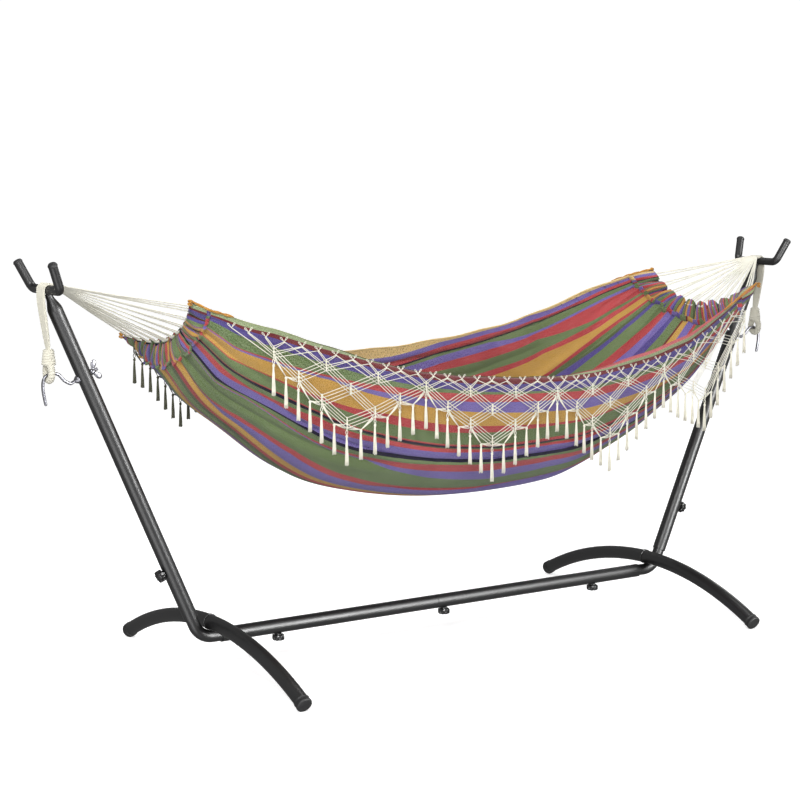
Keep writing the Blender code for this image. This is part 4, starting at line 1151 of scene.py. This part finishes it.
def make_patches(side, word, guide):
    """The band along the seam, on both faces of the cloth, whose stripes are set off from the bed's."""
    shape = Shape()
    v = np.linspace(0.0, 1.0, 361)
    ripple = 0.0070 * np.abs(np.sin(math.pi * PUFFS * v)) + 0.0012 * np.sin(2 * math.pi * 37 * v)
    for face in (-1, 1):
        rows, uv = [], []
        for f in np.linspace(PATCH - 0.03, 1.0, 12):
            base, outward = header_base(side, guide, f, v)
            hill = math.sin(math.pi * min(1.0, max(0.0, (f - PATCH + 0.03) / (1.03 - PATCH))))
            rows.append(base + outward * face * (0.0012 + 0.0044 * hill + ripple * hill)[:, None])
            uv.append(header_uv(side, v, f * HEADER_LENGTH))
        add_rows(shape, rows, uv, side * face < 0)
    return thicken(shape.object(f"header_{word}_patches", PATCHES), PATCH_T)


def make_strings(side, word, guide):
    """Each cord runs from the bar to a puff's mouth, doubled back there in a small loop."""
    shape = Shape()
    for n in range(STRINGS):
        puff = min(int(n * PUFFS / STRINGS), PUFFS - 1)
        within = (n + 0.5) / STRINGS * PUFFS - puff
        v = (puff + 0.5 + (within - 0.5) * 0.55) / PUFFS
        (goal,), _ = header_base(side, guide, 0.16, v)
        (mouth,), (outward,) = header_base(side, guide, 0.0, v)
        start = np.array([side * (HEAD_X - STRING_START_X), STRING_START_HALF * (2 * (n + 0.5) / STRINGS - 1),
                          HEAD_Z + STRING_START_Z + 0.0012 * (n % 2)])
        across = header_line(guide, v + 0.01) - header_line(guide, v - 0.01)
        across /= np.linalg.norm(across)
        sag = np.array([0, 0, -0.002 - 0.002 * math.sin(3 * n)])
        for strand in (-1, 1):
            shift = across * strand * 0.0014
            points = [start + shift * 0.6, (start + mouth) * 0.5 + shift * 0.8 + sag, mouth + shift,
                      goal + shift * 2.2]
            path = along_guides(points, np.linspace(0, 1, 110))
            shape.tube(path, STRING_R, 7, lobes=2, pitch=0.010, depth=0.10)
        loop = [mouth + outward * (0.0026 * math.sin(a) - 0.001) + across * 0.0034 * math.cos(a)
                for a in circle(14)]
        shape.tube(loop, STRING_R * 0.9, 6, closed=True)
    return shape.object(f"strings_{word}_cords", CORD)


# --- Fringes --------------------------------------------------------------------------------------

class Lace:
    """Knotted lace hung from one edge: loops, bands of threads knotted in diamonds, and tassels."""

    def __init__(self, guide, way, name, look, scallops, raised, lean, tassel_length):
        self.guide, self.way, self.name, self.look = guide, way, name, look
        self.scallops, self.raised, self.lean, self.tassel_length = scallops, raised, lean, tassel_length
        self.last = SPANS * (len(scallops) - 1)
        self.start = max(0.018, scallops[0] - NODE_STEP) if scallops[0] > 0 else scallops[0] - 0.004
        self.stop = max(0.995, scallops[-1] + 0.012)
        self.threads, self.knots, self.tassels = Shape(), Shape(), Shape()
        self.random = np.random.default_rng(7)

    def at(self, t, drop, out=0.0):
        """A point below the edge. Beyond either end, the edge runs straight on."""
        if 0 <= t <= 1:
            point = along_guides(self.guide, t)[0]
        else:
            end = 0.0 if t < 0.5 else 1.0
            before, corner = along_guides(self.guide, (abs(end - END_SPAN), end))
            point = corner + (corner - before) * abs(t - end) / END_SPAN
        raised = np.interp(t, (0.16, 0.40), (self.raised, 0.0))
        lean = self.lean * drop * np.interp(t, (0.15, 0.42), (1.0, 0.0))
        return point + np.array([-lean, self.way * (LACE_OUT + out), -max(drop - raised, 0.006)])

    def place(self, k):
        """The place along the edge of knot k; past both ends the knots keep their last step."""
        starts = np.arange(len(self.scallops)) * SPANS
        beyond = NODE_STEP * (min(k, 0) + max(k - self.last, 0))
        return float(np.interp(k, starts, self.scallops)) + beyond

    def thread(self, start, end, sag=0.0, bow=0.0):
        f = np.linspace(0, 1, 7)[:, None]
        points = start + (end - start) * f
        points[:, 2] -= sag * 4 * (f * (1 - f))[:, 0]
        points[:, 1] += self.way * bow * 4 * (f * (1 - f))[:, 0]
        self.threads.tube(points, THREAD_R, 5)

    def band(self, start, end):
        """Parallel threads, one above the other where they meet the stitched knots."""
        for n in range(BAND_THREADS):
            shift = np.array([0, self.way * 0.0005 * (n % 2), (n - (BAND_THREADS - 1) / 2) * BAND_STEP])
            jitter = np.array([0, 0, self.random.normal(0, 0.0004)])
            self.thread(start + shift, end + shift + jitter, 0.0006)

    def knot(self, centre, size):
        """Three tight turns, as a short lumpy bead."""
        for k in (-1, 0, 1):
            ring = [centre + size * np.array([math.cos(a), self.way * 0.62 * math.sin(a),
                                              k * (0.62 + 0.25 * math.cos(a))]) for a in circle(12)]
            self.knots.tube(ring, size * 0.46, 7, closed=True)

    def tassel(self, top, strands=11):
        """A wrapped neck and a brush of strands that flares to a straight cut."""
        self.knot(top - np.array([0, 0, 0.004]), 0.0030)
        f = np.linspace(0, 1, 7)[:, None]
        for n in range(strands):
            a = GOLDEN_ANGLE * n
            r = TASSEL_R * math.sqrt((n + 0.5) / strands)
            long = self.tassel_length * (0.97 + 0.05 * self.random.random())
            foot = np.array([r * math.cos(a), r * math.sin(a) * 0.8, 0.0])
            points = top + foot * (0.20 + 0.80 * f) - np.array([0, 0, long]) * f
            points[:, 0] += 0.0008 * np.sin(6 * f[:, 0] + n) * f[:, 0]
            self.tassels.tube(points, STRAND_R, 5)

    def edge(self, nodes):
        """Threads from crossed loops on the edge that run into the knots of the first row."""
        for n in range(-4, 3 * self.last + 4):
            t = self.place((n + 0.5) / 3)
            if self.start < t < self.stop:
                self.crossed_loops(self.at(t, EDGE_DROP, -0.003))
        for k, (_, point) in enumerate(nodes):
            for side in (-1, 1):
                for n in range(BAND_THREADS + 1):
                    t = self.place(k + side * (1 + 2 * (n // 2)) / 6)
                    if self.start < t < self.stop:
                        pull = np.array([side * 0.003 * (n % 2), 0, -0.0010 * (n % 2)])
                        height = (BAND_THREADS / 2 - n) * BAND_STEP * BAND_THREADS / (BAND_THREADS + 1)
                        foot = point + np.array([side * 0.001, 0, height])
                        self.thread(self.at(t, EDGE_DROP, -0.003) + pull, foot, bow=0.0010)

    def crossed_loops(self, crossing):
        """Two narrow loops whose threads cross below the edge."""
        for side in (-1, 1):
            along = np.array([side * 0.0118, -0.001 * self.way, 0.0125])
            across = np.array([along[2], 0, -along[0]]) * 0.20
            ring = []
            for a in circle(14):
                wide = math.sin(a) * (0.35 - 0.65 * math.cos(a))
                ring.append(crossing + along * (0.5 - 0.5 * math.cos(a)) + across * wide)
            self.threads.tube(ring, THREAD_R * 0.75, 5, closed=True)

    def build(self):
        """Rows of knots that get shorter towards the foot of each scallop, and the bands between them."""
        nodes = [(self.place(k), self.at(self.place(k), ROW_DROPS[0])) for k in range(self.last + 1)]
        self.edge(nodes)
        for begin in range(0, self.last, SPANS):
            above = nodes[begin:begin + SPANS + 1]
            left_slope, right_slope = [above[0][1]], [above[-1][1]]
            for row in range(1, SPANS + 1):
                current = []
                for k in range(SPANS + 1 - row):
                    t = (above[k][0] + above[k + 1][0]) / 2
                    point = self.at(t, ROW_DROPS[row] + self.random.normal(0, 0.0015))
                    current.append((t, point))
                    self.stitch(point)
                    self.band(above[k][1], point)
                    self.band(above[k + 1][1], point)
                left_slope.append(current[0][1])
                right_slope.append(current[-1][1])
                above = current
            # Slopes that meet share a knot, and only one of them hangs a tassel there.
            self.slope(left_slope, (0, 1, 2, 3) if begin == 0 else (1, 2, 3))
            self.slope(right_slope, (0, 1, 2))
        for _, point in nodes:
            self.stitch(point)

    def stitch(self, point):
        """The upright stitched bar where two bands cross."""
        half = BAND_HALF - 0.002
        for n in range(2):
            bar = [point + np.array([0.0009 * math.sin(2.2 * k + 3 * n), self.way * (0.0016 + 0.0008 * n),
                                     half - 2 * half * k / 10]) for k in range(11)]
            self.knots.tube(bar, 0.0015, 6)
        self.knot(point + np.array([0, self.way * 0.001, 0]), 0.0024)

    def slope(self, points, hung):
        """Tassels along one slope: one on a small loop below each knot, and one on a Y tie between knots."""
        under, below = np.array([0, 0, 0.002 - BAND_HALF]), np.array([0, 0, -0.016])
        for n in hung:
            top = points[n] + under
            for way in (-1, 1):
                bend = top + np.array([0.0034 * way, 0, -0.009])
                self.threads.tube(along_guides([top, bend, top + below], np.linspace(0, 1, 9)), THREAD_R, 5)
            self.tassel(top + below)
        for high, low in zip(points, points[1:]):
            tie = high * 0.5 + low * 0.5 + under + below
            for n in range(3):
                rise = np.array([0, 0, 0.005 * n])
                for start, end in ((high, low), (low, high)):
                    self.thread(start + (end - start) * 0.06 + under + rise, tie, 0.0015)
            self.tassel(tie)

    def pieces(self):
        self.build()
        return [shape.object(f"{self.name}_{part}", self.look) for shape, part in
                ((self.threads, "threads"), (self.knots, "knots"), (self.tassels, "tassels"))]


# --- Corner ties ----------------------------------------------------------------------------------

def make_corner_tie(side, word, way, name):
    """A knot at a corner of the cloth, and twisted plies that run on from it along the edge."""
    guide = HEADER_LEFT if side < 0 else HEADER_RIGHT
    centre = header_line(guide, 0.0 if way < 0 else 1.0) + np.array([side * 0.004, way * 0.008, -0.002])
    shape = Shape()
    for k in range(3):
        ring = [centre + np.array([0.0050 * math.cos(a) * (1 - 0.1 * k), 0.0046 * math.sin(a),
                                   0.0040 * (k - 1) + 0.0026 * math.sin(a + 2.1 * k)]) for a in circle(26)]
        shape.tube(ring, 0.0023, 12, closed=True, lobes=3, pitch=0.008, depth=0.15)
    v = 0.004 if way < 0 else 0.996
    edge = [header_base(side, guide, f, v)[0][0] for f in (0.0, 0.25, 0.50, 0.75, 0.95)]
    for step in (0.012, 0.035):
        edge.append(cloth_points(np.abs(seam_share(side) - step), np.full((1, 1), v))[0, 0])
    for ply in (0, math.pi):
        for long in (0.72, 1.0):
            shares = np.linspace(0, long, 60)
            path = along_guides(edge, shares)
            twist = shares * 14 + ply + 2 * long
            path += np.stack([0 * twist, 0.0026 * np.cos(twist), 0.0040 + 0.0022 * np.sin(twist)], -1)
            path[:, 1] += way * 0.0030
            taper = np.interp(shares, (0.0, long - 0.05, long), (0.0021, 0.0021, 0.0009))
            shape.tube(path, taper, 10, lobes=3, pitch=0.009, depth=0.18)
    return shape.object(f"corner_tie_{name}_{word}_knot", TIE)


def hang(obj, slot, *nodes):
    return stand_in(obj, "hammock", slot, *nodes)


def make_hammock():
    bed = hang(make_bed(), "cloth", "bed")
    trims = [hang(edge_roll("hem_near_roll", 0.0, 0.0019, NEAR_HEM, 0.0004), "hem", "hem_near"),
             hang(edge_roll("hem_far_roll", 1.0, 0.0030, CREAM_HEM, 0.0006), "hem", "hem_far")]
    for lace in (Lace(NEAR_EDGE, -1, "fringe_near", NEAR_FRINGE, *NEAR_LACE),
                 Lace(FAR_EDGE, 1, "fringe_far", SHADED_FAR_FRINGE, *FAR_LACE)):
        for n, piece in enumerate(lace.pieces()):
            trims.append(hang(piece, "fringe", *([lace.name] if n == 0 else [])))
    for side, word in SIDES:
        guide = HEADER_LEFT if side < 0 else HEADER_RIGHT
        pieces = [make(side, word, guide) for make in (make_puffs, make_shade_lining, make_patches)]
        trims.append(hang(pieces[0], "cloth", f"header_{word}"))
        trims += [hang(piece, "cloth") for piece in pieces[1:]]
        hang(make_strings(side, word, guide), "cord", f"strings_{word}")
        for way, name in WAYS:
            node = f"corner_tie_{name}_{word}"
            hang(make_corner_tie(side, word, way, name), "corner_tie", node)


# --- Stage ----------------------------------------------------------------------------------------

def glowing(name, roughness, grey, glow):
    """White that shines by itself, so that the ground stays even."""
    look = Look(name, roughness, specular=0.0)
    look.into("Base Color", (grey, grey, grey, 1))
    look.into("Emission Color", (1, 1, 1, 1))
    look.into("Emission Strength", glow)
    return look.material


def make_stage():
    """A white floor and a white backdrop. Neither lights the object: the world and the lamps do."""
    shape = Shape()
    across = np.linspace(-FLOOR_HALF, FLOOR_HALF, 5)
    x, y = np.meshgrid(across, across, indexing="ij")
    shape.grid(np.stack([x, y, np.full_like(x, FLOOR_Z)], -1), np.stack([x, y], -1))
    floor = shape.object("floor", glowing("floor_white", 0.9, 0.8, 0.62))

    shape = Shape()
    around, height = np.linspace(0, 2 * math.pi, 49), np.linspace(-0.5, 13, 4)
    a, z = np.meshgrid(around, height, indexing="ij")
    shape.grid(np.stack([BACKDROP_R * np.cos(a), BACKDROP_R * np.sin(a), z], -1), np.stack([a, z], -1))
    backdrop = shape.object("backdrop", glowing("backdrop_white", 1.0, 0.0, 1.05))
    for obj in (floor, backdrop):
        obj.visible_shadow = False
        obj.visible_diffuse = False
        obj.visible_glossy = False


def area_light(name, place, aim, size, power, streak):
    data = bpy.data.lights.new(name, "AREA")
    data.shape = "RECTANGLE"
    data.size, data.size_y = size
    data.energy = power
    obj = bpy.data.objects.new(name, data)
    obj.location = place
    obj.rotation_euler = (Vector(aim) - Vector(place)).to_track_quat("-Z", "Y").to_euler()
    obj.visible_diffuse = not streak
    bpy.context.scene.collection.objects.link(obj)


def make_world():
    """White light that fades a little below and more behind, so that round metal keeps dark edges."""
    world = bpy.data.worlds.new("studio")
    bpy.context.scene.world = world
    world.use_nodes = True
    nodes, links = world.node_tree.nodes, world.node_tree.links
    toward = nodes.new("ShaderNodeTexCoord").outputs["Generated"]
    strength = nodes.new("ShaderNodeMath")
    strength.operation = "MULTIPLY"
    for n, (axis, values) in enumerate(WORLD_FADES):
        share = nodes.new("ShaderNodeVectorMath")
        share.operation = "DOT_PRODUCT"
        share.inputs[1].default_value = axis
        links.new(toward, share.inputs[0])
        fade = nodes.new("ShaderNodeMapRange")
        links.new(share.outputs["Value"], fade.inputs["Value"])
        for key, value in zip(("From Min", "From Max", "To Min", "To Max"), values):
            fade.inputs[key].default_value = value
        links.new(fade.outputs["Result"], strength.inputs[n])
    nodes["Background"].inputs["Color"].default_value = (1, 1, 1, 1)
    links.new(strength.outputs[0], nodes["Background"].inputs["Strength"])


def make_lights():
    make_world()
    for light in LIGHTS:
        area_light(*light)
    bpy.context.scene.view_settings.view_transform = "Standard"


def make_camera():
    data = bpy.data.cameras.new("camera")
    data.lens = CAMERA_LENS
    data.sensor_width = 36.0
    obj = bpy.data.objects.new("camera", data)
    obj.location = CAMERA_PLACE
    obj.rotation_euler = (math.radians(90.0 - CAMERA_DOWN), 0.0, math.radians(CAMERA_TURN))
    bpy.context.scene.collection.objects.link(obj)
    bpy.context.scene.camera = obj


make_camera()
make_lights()
make_stage()
make_beam()
make_elbows()
for side, word in SIDES:
    make_upright(side, word)
    make_head_bar(side, word)
    make_feet(side, word)
    make_hook(side, word)
    make_washer(side, word)
    make_wing_nut(side, word)
    make_ropes(side, word)
make_knobs()
make_hammock()
